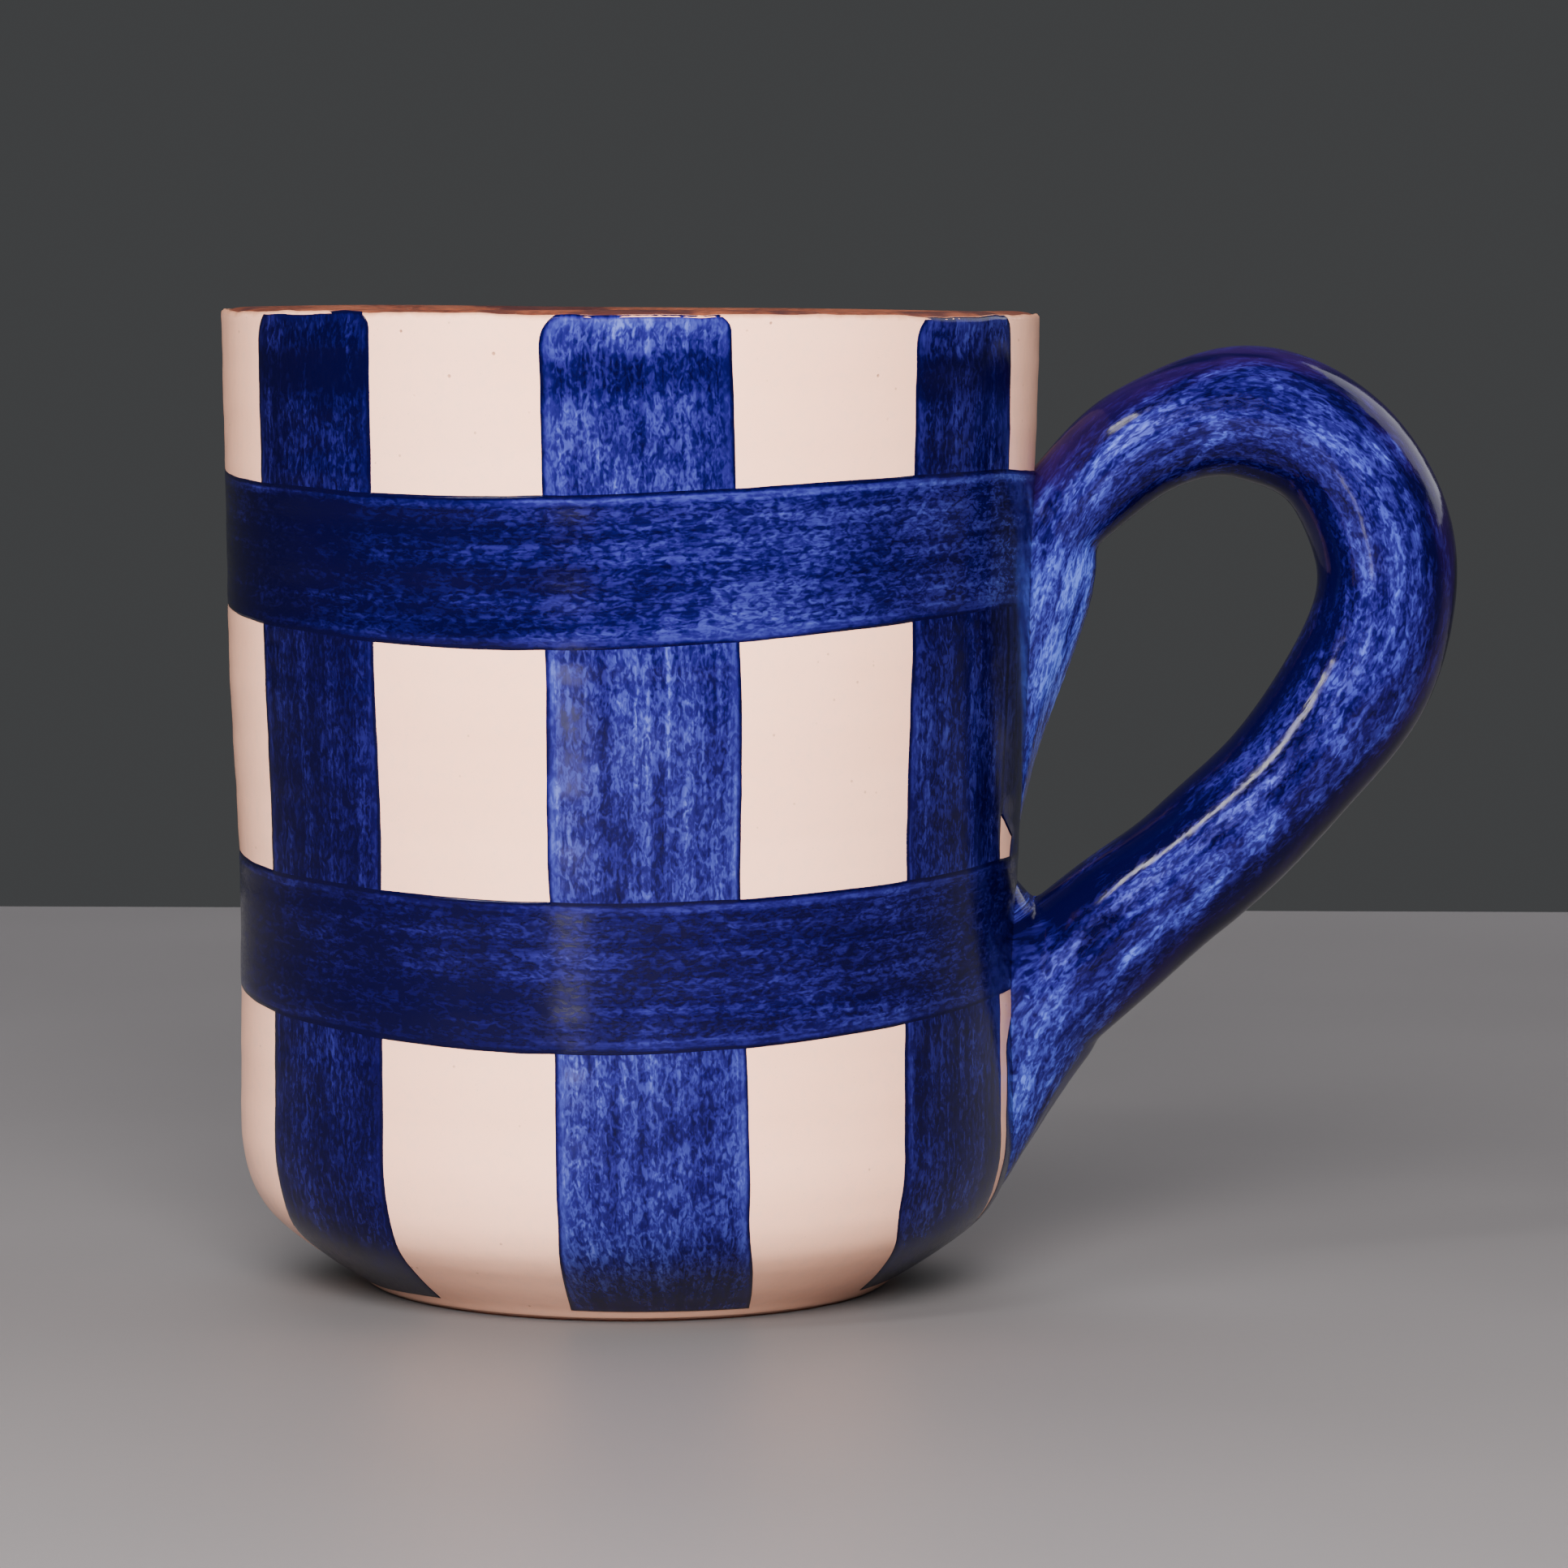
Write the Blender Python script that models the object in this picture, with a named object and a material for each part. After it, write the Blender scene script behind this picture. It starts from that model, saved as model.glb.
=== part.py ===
"""Hand-painted earthenware mug: thrown body, rolled loop handle, two luted joints and its glaze coats.

Metres, +Z up. The origin is the middle of the flat underside and the handle points along +X.
Azimuths are in degrees from the front (-Y), positive towards the handle (+X).
"""

import math

import bmesh
import bpy
from mathutils import Vector

MM = 0.001

# Overall size
HEIGHT = 100.0
LOWER_RADIUS = 39.8
WAIST_SWELL = 1.35
RIM_SWELL = 0.6
SWELL_START = 36.0
SWELL_END = 70.0

# Rounded base corner: radius and z of places from the flat underside to the wall
CORNER_STATIONS = (
    (26.6, 0.0),
    (27.2, 0.6),
    (28.3, 1.4),
    (29.7, 2.3),
    (31.4, 3.4),
    (33.4, 4.8),
    (35.5, 6.4),
    (37.3, 8.2),
    (38.6, 10.4),
    (39.3, 12.6),
    (39.7, 14.8),
    (39.8, 17.0),
)
CORNER_HEIGHT = CORNER_STATIONS[-1][1]
FOOT_RADIUS = 27.0

# Coats, each measured inwards from the painted surface
GAP = 0.3
PAINT_THICKNESS = 0.4
GLAZE_THICKNESS = 0.5
GLAZE_DEPTH = PAINT_THICKNESS + GAP
CLAY_DEPTH = GLAZE_DEPTH + GLAZE_THICKNESS + GAP

# Clay wall, floor and rim
WALL_THICKNESS = 3.4
FLOOR_THICKNESS = 6.0
INNER_CORNER = 12.0
RIM_LINE = 98.4
LIP_DROP = 0.35
GLAZE_FOOT_ANGLE = 0.22
PAINT_FOOT_ANGLE = 0.32
PAINT_TOP = 98.0

# Brushwork: upright stripes and two bands round the body
STRIPE_AZIMUTHS = (-105.0, -50.0, 1.0, 54.0, 145.0, 200.0)
STRIPE_WIDTH = 25.5
HANDLE_STRIPE_WIDTH = 30.0
HANDLE_PATCH_WIDTH = 44.0
UPPER_BAND = (68.4, 82.5)
LOWER_BAND = (29.4, 43.3)
HANDLE_AZIMUTH = 90.0
CELL_ANGLE = 6.5

# Handle coil: x, z of its centre line, and the coil's thickness there
HANDLE_STATIONS = (
    (37.0, 72.5, 10.0),
    (44.5, 79.8, 10.4),
    (52.8, 86.8, 12.0),
    (62.8, 89.8, 13.3),
    (72.4, 85.4, 14.1),
    (77.6, 75.0, 14.5),
    (75.6, 63.8, 14.5),
    (68.0, 52.8, 14.0),
    (59.0, 43.9, 14.1),
    (50.4, 36.8, 14.4),
    (36.0, 24.0, 15.0),
)
HANDLE_DEPTH_RATIO = 1.04
HANDLE_LOOPS = 36
HANDLE_SIDES = 18

# Luted joints: z on the wall, how far the clay stands out, half of its width
UPPER_JOINT = (
    (86.4, 0.2, 4.0),
    (83.0, 2.2, 7.4),
    (79.0, 5.4, 8.6),
    (74.5, 6.8, 8.2),
    (69.0, 5.6, 7.2),
    (63.0, 3.4, 6.2),
    (57.0, 1.2, 5.0),
    (49.5, 0.2, 2.4),
)
LOWER_JOINT = (
    (41.5, 0.2, 4.0),
    (38.0, 2.8, 7.2),
    (33.0, 6.4, 8.4),
    (28.0, 8.6, 8.3),
    (24.0, 8.0, 7.6),
    (19.5, 5.0, 6.4),
    (15.0, 2.1, 5.0),
    (10.0, 0.2, 2.6),
)
JOINT_ROWS = 16
JOINT_COLUMNS = 12

TURNS = 64
SHARP = math.radians(38)

CREAM = (0.83, 0.70, 0.59)
COBALT = (0.028, 0.055, 0.30)
TERRACOTTA = (0.36, 0.12, 0.055)


def clear_scene():
    for obj in list(bpy.data.objects):
        bpy.data.objects.remove(obj, do_unlink=True)
    for group in list(bpy.data.collections):
        bpy.data.collections.remove(group)


def new_collection(name, helper=False):
    group = bpy.data.collections.new(name)
    bpy.context.scene.collection.children.link(group)
    group.hide_render = helper
    return group


def new_material(name, colour, roughness, coat):
    material = bpy.data.materials.new(name)
    material.use_nodes = True
    shader = material.node_tree.nodes["Principled BSDF"]
    shader.inputs["Base Color"].default_value = (*colour, 1.0)
    shader.inputs["Roughness"].default_value = roughness
    shader.inputs["Metallic"].default_value = 0.0
    shader.inputs["Coat Weight"].default_value = coat
    shader.inputs["Coat Roughness"].default_value = 0.06
    return material


def smoothstep(low, high, value):
    t = min(max((value - low) / (high - low), 0.0), 1.0)
    return t * t * (3.0 - 2.0 * t)


def wall_radius(z):
    """Radius of the painted surface above the base corner."""
    swell = WAIST_SWELL * smoothstep(SWELL_START, SWELL_END, z)
    return LOWER_RADIUS + swell + RIM_SWELL * smoothstep(SWELL_END, HEIGHT, z)


def corner_point(angle):
    """Point of the painted surface on the base corner: 0 is underneath, pi / 2 is on the wall."""
    last = len(CORNER_STATIONS) - 1
    place = min(angle / (math.pi / 2), 1.0) * last
    i = min(int(place), last - 1)
    a, b, c, d = (Vector(CORNER_STATIONS[min(max(i + k, 0), last)]) for k in (-1, 0, 1, 2))
    u = place - i
    bend = (a * 2 - b * 5 + c * 4 - d) * u**2
    twist = (b * 3 - c * 3 + d - a) * u**3
    return (b * 2 + (c - a) * u + bend + twist) / 2


def surface_line(start_angle, top, corner_steps=7, wall_step=13.0):
    """Points of the painted surface, from a place on the base corner up to a height."""
    line = []
    for i in range(corner_steps):
        share = i / corner_steps
        line.append(corner_point(start_angle + (math.pi / 2 - start_angle) * share))
    count = max(1, math.ceil((top - CORNER_HEIGHT) / wall_step))
    for i in range(count + 1):
        z = CORNER_HEIGHT + (top - CORNER_HEIGHT) * i / count
        line.append(Vector((wall_radius(z), z)))
    return line


def inwards(line, depth):
    """The same line moved towards the clay, square to itself."""
    moved = []
    for i, point in enumerate(line):
        ahead = line[min(i + 1, len(line) - 1)]
        behind = line[max(i - 1, 0)]
        along = (ahead - behind).normalized()
        moved.append(point + Vector((-along.y, along.x)) * depth)
    return moved


def inner_line(top, corner_steps=6, wall_step=16.5):
    """Inside face of the clay, from the axis out over the floor and up the wall."""
    foot = wall_radius(20.0) - CLAY_DEPTH - WALL_THICKNESS
    line = [Vector((x, FLOOR_THICKNESS)) for x in (0.0, 12.0)]
    for i in range(corner_steps):
        angle = math.pi / 2 * i / (corner_steps - 1)
        x = foot - INNER_CORNER * (1.0 - math.sin(angle))
        z = FLOOR_THICKNESS + INNER_CORNER * (1.0 - math.cos(angle))
        line.append(Vector((x, z)))
    low = FLOOR_THICKNESS + INNER_CORNER
    count = math.ceil((top - low) / wall_step)
    for i in range(1, count + 1):
        z = low + (top - low) * i / count
        line.append(Vector((wall_radius(z) - CLAY_DEPTH - WALL_THICKNESS, z)))
    return line


def mesh_object(name, points, faces, group, material=None):
    mesh = bpy.data.meshes.new(name)
    mesh.from_pydata([Vector(p) * MM for p in points], [], faces)
    obj = bpy.data.objects.new(name, mesh)
    group.objects.link(obj)
    if material:
        mesh.materials.append(material)
    return obj


def face_outwards(obj):
    work = bmesh.new()
    work.from_mesh(obj.data)
    bmesh.ops.recalc_face_normals(work, faces=work.faces)
    if work.calc_volume(signed=True) < 0:
        bmesh.ops.reverse_faces(work, faces=work.faces)
    work.to_mesh(obj.data)
    work.free()


def turned(name, outline, closed, group, material=None):
    """Solid of revolution. An open outline starts and ends on the axis."""
    points = []
    faces = []
    rings = []
    for r, z in outline:
        if r < 1e-6:
            rings.append([len(points)])
            points.append((0.0, 0.0, z))
            continue
        rings.append(list(range(len(points), len(points) + TURNS)))
        for i in range(TURNS):
            angle = math.tau * i / TURNS
            points.append((r * math.cos(angle), r * math.sin(angle), z))
    pairs = list(zip(rings, rings[1:], strict=False))
    if closed:
        pairs.append((rings[-1], rings[0]))
    for low, high in pairs:
        for i in range(TURNS):
            j = (i + 1) % TURNS
            if len(low) == 1:
                faces.append((low[0], high[j], high[i]))
            elif len(high) == 1:
                faces.append((low[i], low[j], high[0]))
            else:
                faces.append((low[i], low[j], high[j], high[i]))
    obj = mesh_object(name, points, faces, group, material)
    face_outwards(obj)
    return obj


def on_wall(azimuth, radius, z):
    angle = math.radians(azimuth)
    return (radius * math.sin(angle), -radius * math.cos(angle), z)


def catmull(stations, t):
    """Smooth value through a row of stations, t running from 0 to 1."""
    last = len(stations) - 1
    place = min(t * last, last - 1e-9)
    i = int(place)
    u = place - i
    rows = [stations[min(max(i + k, 0), last)] for k in (-1, 0, 1, 2)]
    value = []
    for a, b, c, d in zip(*rows, strict=True):
        bend = 2 * a - 5 * b + 4 * c - d
        twist = 3 * b - 3 * c + d - a
        value.append(0.5 * (2 * b + (c - a) * u + bend * u**2 + twist * u**3))
    return value


def coil_rings(inset):
    """Rings of points round the handle's centre line, moved in by an inset."""
    rings = []
    for i in range(HANDLE_LOOPS + 1):
        t = i / HANDLE_LOOPS
        x, z, thickness = catmull(HANDLE_STATIONS, t)
        x0, z0, _ = catmull(HANDLE_STATIONS, max(t - 0.004, 0.0))
        x1, z1, _ = catmull(HANDLE_STATIONS, min(t + 0.004, 1.0))
        along = Vector((x1 - x0, 0.0, z1 - z0)).normalized()
        across = Vector((-along.z, 0.0, along.x))
        half = thickness / 2 - inset
        depth = thickness / 2 * HANDLE_DEPTH_RATIO - inset
        ring = []
        for k in range(HANDLE_SIDES):
            angle = math.tau * k / HANDLE_SIDES
            side = Vector((0.0, depth * math.sin(angle), 0.0))
            ring.append(Vector((x, 0.0, z)) + across * half * math.cos(angle) + side)
        rings.append(ring)
    return rings


def tube_faces(start, count, sides):
    faces = []
    for i in range(count - 1):
        for k in range(sides):
            a = start + i * sides + k
            b = start + i * sides + (k + 1) % sides
            faces.append((a, b, b + sides, a + sides))
    return faces


def coil(name, inset, group, material=None):
    rings = coil_rings(inset)
    points = [p for ring in rings for p in ring]
    faces = tube_faces(0, len(rings), HANDLE_SIDES)
    faces.append(tuple(range(HANDLE_SIDES)))
    faces.append(tuple(range(len(points) - HANDLE_SIDES, len(points))))
    obj = mesh_object(name, points, faces, group, material)
    face_outwards(obj)
    return obj


def coil_coat(name, group, material):
    """Open-ended sleeve over the handle coil."""
    outer = [p for ring in coil_rings(0.0) for p in ring]
    inner = [p for ring in coil_rings(GLAZE_THICKNESS) for p in ring]
    total = len(outer)
    faces = tube_faces(0, HANDLE_LOOPS + 1, HANDLE_SIDES)
    faces += tube_faces(total, HANDLE_LOOPS + 1, HANDLE_SIDES)
    for start in (0, total - HANDLE_SIDES):
        for k in range(HANDLE_SIDES):
            a = start + k
            b = start + (k + 1) % HANDLE_SIDES
            faces.append((a, b, b + total, a + total))
    obj = mesh_object(name, outer + inner, faces, group, material)
    face_outwards(obj)
    return obj


def joint(name, stations, grow, group, material=None):
    """Teardrop of clay smeared down the wall under one end of the handle."""
    top = stations[0][0] + grow
    bottom = stations[-1][0] - grow
    heights = [s[0] for s in stations]
    front = []
    back = []
    for i in range(JOINT_ROWS + 1):
        share = i / JOINT_ROWS
        z = top + (bottom - top) * share
        level = min(max(z, heights[-1]), heights[0])
        spot = 0
        while spot < len(heights) - 2 and heights[spot + 1] > level:
            spot += 1
        part = (heights[spot] - level) / (heights[spot] - heights[spot + 1])
        _, stand, half = catmull(stations, (spot + part) / (len(stations) - 1))
        radius = wall_radius(z)
        back_radius = radius - CLAY_DEPTH + GAP - grow
        for k in range(JOINT_COLUMNS + 1):
            u = -math.cos(math.pi * k / JOINT_COLUMNS)
            azimuth = HANDLE_AZIMUTH + math.degrees((half + grow) * u / radius)
            rise = max(stand, 0.0) * (1.0 - u * u) ** 0.7 + grow
            front.append(on_wall(azimuth, radius + rise, z))
            back.append(on_wall(azimuth, back_radius, z))
    total = len(front)
    row = JOINT_COLUMNS + 1
    faces = []
    for i in range(JOINT_ROWS):
        for k in range(JOINT_COLUMNS):
            a = i * row + k
            faces.append((a, a + 1, a + 1 + row, a + row))
            faces.append((a + total, a + row + total, a + row + 1 + total, a + 1 + total))
    for k in range(JOINT_COLUMNS):
        low = JOINT_ROWS * row + k
        faces.append((k, k + total, k + 1 + total, k + 1))
        faces.append((low, low + 1, low + 1 + total, low + total))
    for i in range(JOINT_ROWS):
        left = i * row
        right = left + JOINT_COLUMNS
        faces.append((left, left + row, left + row + total, left + total))
        faces.append((right, right + total, right + row + total, right + row))
    obj = mesh_object(name, front + back, faces, group, material)
    face_outwards(obj)
    return obj


def stripe_edges():
    """(left, right) azimuths of every upright stroke, and of the patch round the handle."""
    edges = [(a - STRIPE_WIDTH / 2, a + STRIPE_WIDTH / 2) for a in STRIPE_AZIMUTHS]
    half = HANDLE_STRIPE_WIDTH / 2
    edges.append((HANDLE_AZIMUTH - half, HANDLE_AZIMUTH + half))
    half = HANDLE_PATCH_WIDTH / 2
    edges.append((HANDLE_AZIMUTH - half, HANDLE_AZIMUTH + half))
    return edges


def filled(values, step):
    """The values in order, with more put between so that no space is over the step."""
    out = []
    for a, b in zip(values, values[1:], strict=False):
        count = max(1, math.ceil((b - a) / step - 1e-6))
        out += [a + (b - a) * i / count for i in range(count)]
    return out + [values[-1]]


def is_painted(azimuth, z):
    edges = stripe_edges()
    for left, right in edges[:-2]:
        if left < azimuth < right:
            return True
    if UPPER_BAND[0] < z < UPPER_BAND[1] or LOWER_BAND[0] < z < LOWER_BAND[1]:
        return True
    if z < LOWER_BAND[0]:
        return edges[-2][0] < azimuth < edges[-2][1]
    return z < UPPER_BAND[0] and edges[-1][0] < azimuth < edges[-1][1]


def brushwork(name, group, material):
    """One film of paint: a grid of small cells round the body, kept only where there is paint."""
    marks = sorted({edge for pair in stripe_edges() for edge in pair})
    marks = filled([*marks, marks[0] + 360.0], CELL_ANGLE)[:-1]
    corner = surface_line(PAINT_FOOT_ANGLE, CORNER_HEIGHT, 6)[:6]
    heights = filled([CORNER_HEIGHT, *LOWER_BAND, *UPPER_BAND, PAINT_TOP], 13.0)
    line = corner + [Vector((wall_radius(z), z)) for z in heights]
    under = inwards(line, PAINT_THICKNESS)
    rows = len(line)
    columns = len(marks)
    points = [on_wall(a, p.x, p.y) for p in line for a in marks]
    points += [on_wall(a, p.x, p.y) for p in under for a in marks]
    total = rows * columns
    kept = set()
    for i in range(rows - 1):
        z = (line[i].y + line[i + 1].y) / 2
        for k in range(columns):
            after = marks[(k + 1) % columns] + (360.0 if k == columns - 1 else 0.0)
            if is_painted((marks[k] + after) / 2, z):
                kept.add((i, k))
    faces = []
    for i, k in sorted(kept):
        j = (k + 1) % columns
        a, b = i * columns + k, i * columns + j
        c, d = b + columns, a + columns
        faces.append((a, b, c, d))
        faces.append((a + total, d + total, c + total, b + total))
        if (i - 1, k) not in kept:
            faces.append((a, a + total, b + total, b))
        if (i + 1, k) not in kept:
            faces.append((d, c, c + total, d + total))
        if (i, (k - 1) % columns) not in kept:
            faces.append((a, d, d + total, a + total))
        if (i, j) not in kept:
            faces.append((b, b + total, c + total, c))
    obj = mesh_object(name, points, faces, group, material)
    work = bmesh.new()
    work.from_mesh(obj.data)
    loose = [v for v in work.verts if not v.link_faces]
    bmesh.ops.delete(work, geom=loose, context="VERTS")
    work.to_mesh(obj.data)
    work.free()
    face_outwards(obj)
    return obj


def cut(obj, cutter):
    boolean = obj.modifiers.new("cut_" + cutter.name, "BOOLEAN")
    boolean.operation = "DIFFERENCE"
    boolean.solver = "EXACT"
    boolean.object = cutter


def finish(obj):
    """Fix the modifiers into the mesh and shade it smooth with its real edges kept."""
    graph = bpy.context.evaluated_depsgraph_get()
    mesh = bpy.data.meshes.new_from_object(obj.evaluated_get(graph))
    obj.modifiers.clear()
    obj.data = mesh
    mesh.name = obj.name
    mesh.shade_smooth()
    mesh.set_sharp_from_angle(angle=SHARP)


def clay_outline():
    outer = inwards(surface_line(GLAZE_FOOT_ANGLE, RIM_LINE), CLAY_DEPTH)
    rim = wall_radius(HEIGHT)
    inner_face = rim - CLAY_DEPTH - WALL_THICKNESS
    lip_outer = rim - LIP_DROP
    lip_inner = inner_face - GLAZE_THICKNESS - GAP + LIP_DROP
    middle = (lip_outer + lip_inner) / 2
    half = (lip_outer - lip_inner) / 2
    lip = [Vector((lip_outer - 0.1, RIM_LINE + 0.25))]
    for i in range(7):
        angle = math.pi * i / 6
        x = middle + half * math.cos(angle)
        z = HEIGHT - 1.1 + 1.1 * math.sin(angle) ** 0.7 if 0 < i < 6 else HEIGHT - 1.1
        lip.append(Vector((x, z)))
    lip.append(Vector((lip_inner + 0.1, RIM_LINE + 0.25)))
    foot = [Vector((0.0, 0.0)), Vector((FOOT_RADIUS - 0.4, 0.0)), Vector((FOOT_RADIUS, 0.4))]
    foot.append(Vector((FOOT_RADIUS + 0.2, outer[0].y - 0.25)))
    return foot + outer + lip + inner_line(RIM_LINE)[::-1]


def shell_outline(line, shallow, deep):
    return inwards(line, shallow) + inwards(line, deep)[::-1]


def lining_outline():
    line = inner_line(RIM_LINE - 0.3)
    near = inwards(line, GAP)
    far = inwards(line, GAP + GLAZE_THICKNESS)
    near[0].x = far[0].x = 0.0
    return far + near[::-1]


def envelope_outline():
    """Everything inside the painted surface, with the working gap added."""
    line = inwards(surface_line(GLAZE_FOOT_ANGLE, HEIGHT + 5.0), -GAP)
    return [Vector((0.0, line[0].y)), *line, Vector((0.0, line[-1].y))]


def build():
    clear_scene()
    parts = new_collection("painted_check_mug")
    cutters = new_collection("cutters", helper=True)
    clay = new_material("terracotta_clay", TERRACOTTA, 0.72, 0.0)
    cream = new_material("cream_glaze", CREAM, 0.30, 0.8)
    lining = new_material("cream_lining_glaze", CREAM, 0.32, 0.8)
    paint = new_material("cobalt_paint", COBALT, 0.30, 0.8)
    handle_paint = new_material("cobalt_handle_glaze", COBALT, 0.26, 0.9)
    luted = new_material("cobalt_covered_clay", COBALT, 0.34, 0.8)

    upper_cut = joint("upper_joint_clearance", UPPER_JOINT, GAP, cutters)
    lower_cut = joint("lower_joint_clearance", LOWER_JOINT, GAP, cutters)
    body_cut = turned("body_clearance", envelope_outline(), False, cutters)
    for helper in cutters.objects:
        helper.hide_render = True
        helper.display_type = "WIRE"

    turned("clay_body", clay_outline(), False, parts, clay)
    turned("inner_glaze", lining_outline(), False, parts, lining)
    line = surface_line(GLAZE_FOOT_ANGLE + 0.02, RIM_LINE - 0.3)
    outline = shell_outline(line, GLAZE_DEPTH, GLAZE_DEPTH + GLAZE_THICKNESS)
    outer = turned("outer_glaze", outline, True, parts, cream)
    painted = brushwork("painted_check", parts, paint)
    handle = coil("handle", GLAZE_THICKNESS + GAP, parts, clay)
    coat = coil_coat("handle_glaze", parts, handle_paint)
    joint("handle_upper_joint", UPPER_JOINT, 0.0, parts, luted)
    joint("handle_lower_joint", LOWER_JOINT, 0.0, parts, luted)

    for obj in (outer, painted):
        cut(obj, upper_cut)
        cut(obj, lower_cut)
    for obj in (handle, coat):
        cut(obj, body_cut)
        cut(obj, upper_cut)
        cut(obj, lower_cut)
    for obj in list(parts.objects):
        finish(obj)


build()
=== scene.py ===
"""Hand-painted earthenware mug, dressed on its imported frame.

Shapes are worked out in millimetres and written in metres. Azimuths are in degrees from the
front (-Y), positive towards the handle (+X).
"""

import math

import bmesh
import bpy
import numpy as np
from mathutils import Matrix, Vector
from mathutils.kdtree import KDTree


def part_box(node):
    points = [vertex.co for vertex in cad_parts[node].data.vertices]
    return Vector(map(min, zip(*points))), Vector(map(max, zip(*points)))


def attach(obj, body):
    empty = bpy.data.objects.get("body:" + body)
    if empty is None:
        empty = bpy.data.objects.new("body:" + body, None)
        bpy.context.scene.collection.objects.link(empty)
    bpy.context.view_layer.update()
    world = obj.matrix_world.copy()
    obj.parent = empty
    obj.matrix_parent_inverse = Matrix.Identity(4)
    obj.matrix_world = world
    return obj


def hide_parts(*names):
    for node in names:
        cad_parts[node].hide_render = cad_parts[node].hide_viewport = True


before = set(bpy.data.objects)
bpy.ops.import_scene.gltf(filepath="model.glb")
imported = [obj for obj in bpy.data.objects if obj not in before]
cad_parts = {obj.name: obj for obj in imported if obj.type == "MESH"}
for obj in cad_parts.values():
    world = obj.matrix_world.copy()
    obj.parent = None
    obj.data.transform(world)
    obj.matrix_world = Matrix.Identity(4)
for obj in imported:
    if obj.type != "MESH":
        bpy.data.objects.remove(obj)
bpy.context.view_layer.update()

MM = 0.001
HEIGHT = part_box("clay_body")[1][2] / MM

# Length of one degree round the wall, as used to lay out hand wobbles, and of a full turn
ARC_PER_DEGREE = 0.7
FULL_ARC = 360.0 * ARC_PER_DEGREE

# The thrown form, as in the CAD: radius of the lower wall, and where and how much it widens
LOWER_RADIUS = 39.8
WAIST_SWELL = 1.35
RIM_SWELL = 0.6
SWELL_START = 36.0
SWELL_END = 70.0
# Radius and height up the rounded base corner
CORNER_STATIONS = (
    (26.6, 0.0),
    (27.2, 0.6),
    (28.3, 1.4),
    (29.7, 2.3),
    (31.4, 3.4),
    (33.4, 4.8),
    (35.5, 6.4),
    (37.3, 8.2),
    (38.6, 10.4),
    (39.3, 12.6),
    (39.7, 14.8),
    (39.8, 17.0),
)
CORNER_HEIGHT = CORNER_STATIONS[-1][1]
FOOT_RADIUS = 27.0
WALL = 5.6
FLOOR = 6.8
INNER_CORNER = 12.0
INNER_WALL_START = 20.0
# Rounded lip: how high the rounding is, where it starts, and where the hidden clay ends
LIP_ROUND = 1.2
LIP_START = 98.5
CLAY_TOP = 98.2

# Cream coat: thickness, where it stops below the lip and above the foot
GLAZE_DEPTH = 0.45
GLAZE_LINE = 99.55
GLAZE_FOOT = 0.12
GLAZE_BEAD_START = 1.4
# Paint: how far it stands above the cream at its edge and inside, and its highest and
# lowest places
PAINT_EDGE = 0.03
PAINT_RISE = 0.075
PAINT_TOP = 99.5
PAINT_FOOT = 1.35

# Upright strokes: azimuth at the rim and at the foot, width at the rim and at the foot,
# and how far the left and right edges run round where the brush goes under the base
UPRIGHTS = (
    (-106.0, -104.5, 24.5, 26.0, -4.0, 3.0),
    (-49.5, -49.8, 24.6, 25.8, -16.0, -5.0),
    (0.4, 4.1, 25.4, 27.7, -1.9, 9.0),
    (53.0, 58.2, 23.2, 29.2, 15.0, 10.0),
    (144.0, 146.0, 25.0, 27.0, -3.0, 4.0),
    (201.0, 199.0, 26.0, 26.5, -4.0, 3.0),
)
FLARE_START = 12.0
RIGHT_UPRIGHT = 3
# Edges of the two bands: lowest height, swing, azimuth of the lowest place
UPPER_BAND_FOOT = (67.4, 3.0, -20.0)
UPPER_BAND_HEAD = (82.1, 2.1, -30.0)
LOWER_BAND_FOOT = (28.3, 2.8, -12.0)
LOWER_BAND_HEAD = (43.1, 1.8, -12.0)
# Lower edge of the paint between the right upright and the handle, beside each of them
PATCH_FOOT_NEAR = 46.6
PATCH_FOOT_FAR = 50.4
# Number that seeds the patch's brush marks, as each upright's place in the list seeds its own
PATCH_NUMBER = 9.0
HANDLE_AZIMUTH = 90.0
# Spacing of the paint's grid round and up the wall, and the height where its columns are counted
GRID_ROUND = 0.62
GRID_UP = 0.75
GRID_HEIGHT = 50.0
# Height that tells the upper band from the lower one
BETWEEN_BANDS = 56.0

# Handle coil: x, z of its centre line, and the coil's thickness there
COIL = (
    (36.0, 71.5, 9.6),
    (44.3, 79.6, 10.4),
    (52.6, 86.9, 12.0),
    (62.7, 89.8, 13.4),
    (72.3, 85.6, 14.1),
    (77.5, 75.2, 14.6),
    (75.7, 64.0, 14.6),
    (68.1, 52.9, 14.1),
    (59.1, 44.0, 14.2),
    (50.5, 37.0, 14.6),
    (34.0, 22.6, 15.2),
)
COIL_DEPTH_RATIO = 1.03
TAIL_SINK = 2.6
# Smeared ends on the wall: z, how far the clay stands out, half of its width
UPPER_TAIL = (
    (82.6, -0.4, 2.4),
    (80.2, 2.4, 4.6),
    (76.0, 6.3, 5.5),
    (71.5, 6.3, 5.7),
    (66.5, 4.9, 5.3),
    (61.0, 3.1, 4.8),
    (56.0, 1.6, 4.2),
    (51.0, 0.6, 3.4),
    (45.0, -0.4, 2.0),
)
LOWER_TAIL = (
    (42.0, -0.4, 3.0),
    (38.6, 2.5, 6.6),
    (34.0, 6.0, 8.2),
    (28.5, 8.4, 8.3),
    (24.8, 8.4, 7.8),
    (20.8, 5.8, 7.0),
    (16.4, 3.0, 6.0),
    (12.5, 1.1, 5.0),
    (7.0, -0.4, 3.0),
)
# How far a point on the handle still follows neighbouring places of the brush's line
BRUSH_BLEND = 2.6
BRUSH_SAMPLES = 500
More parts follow.
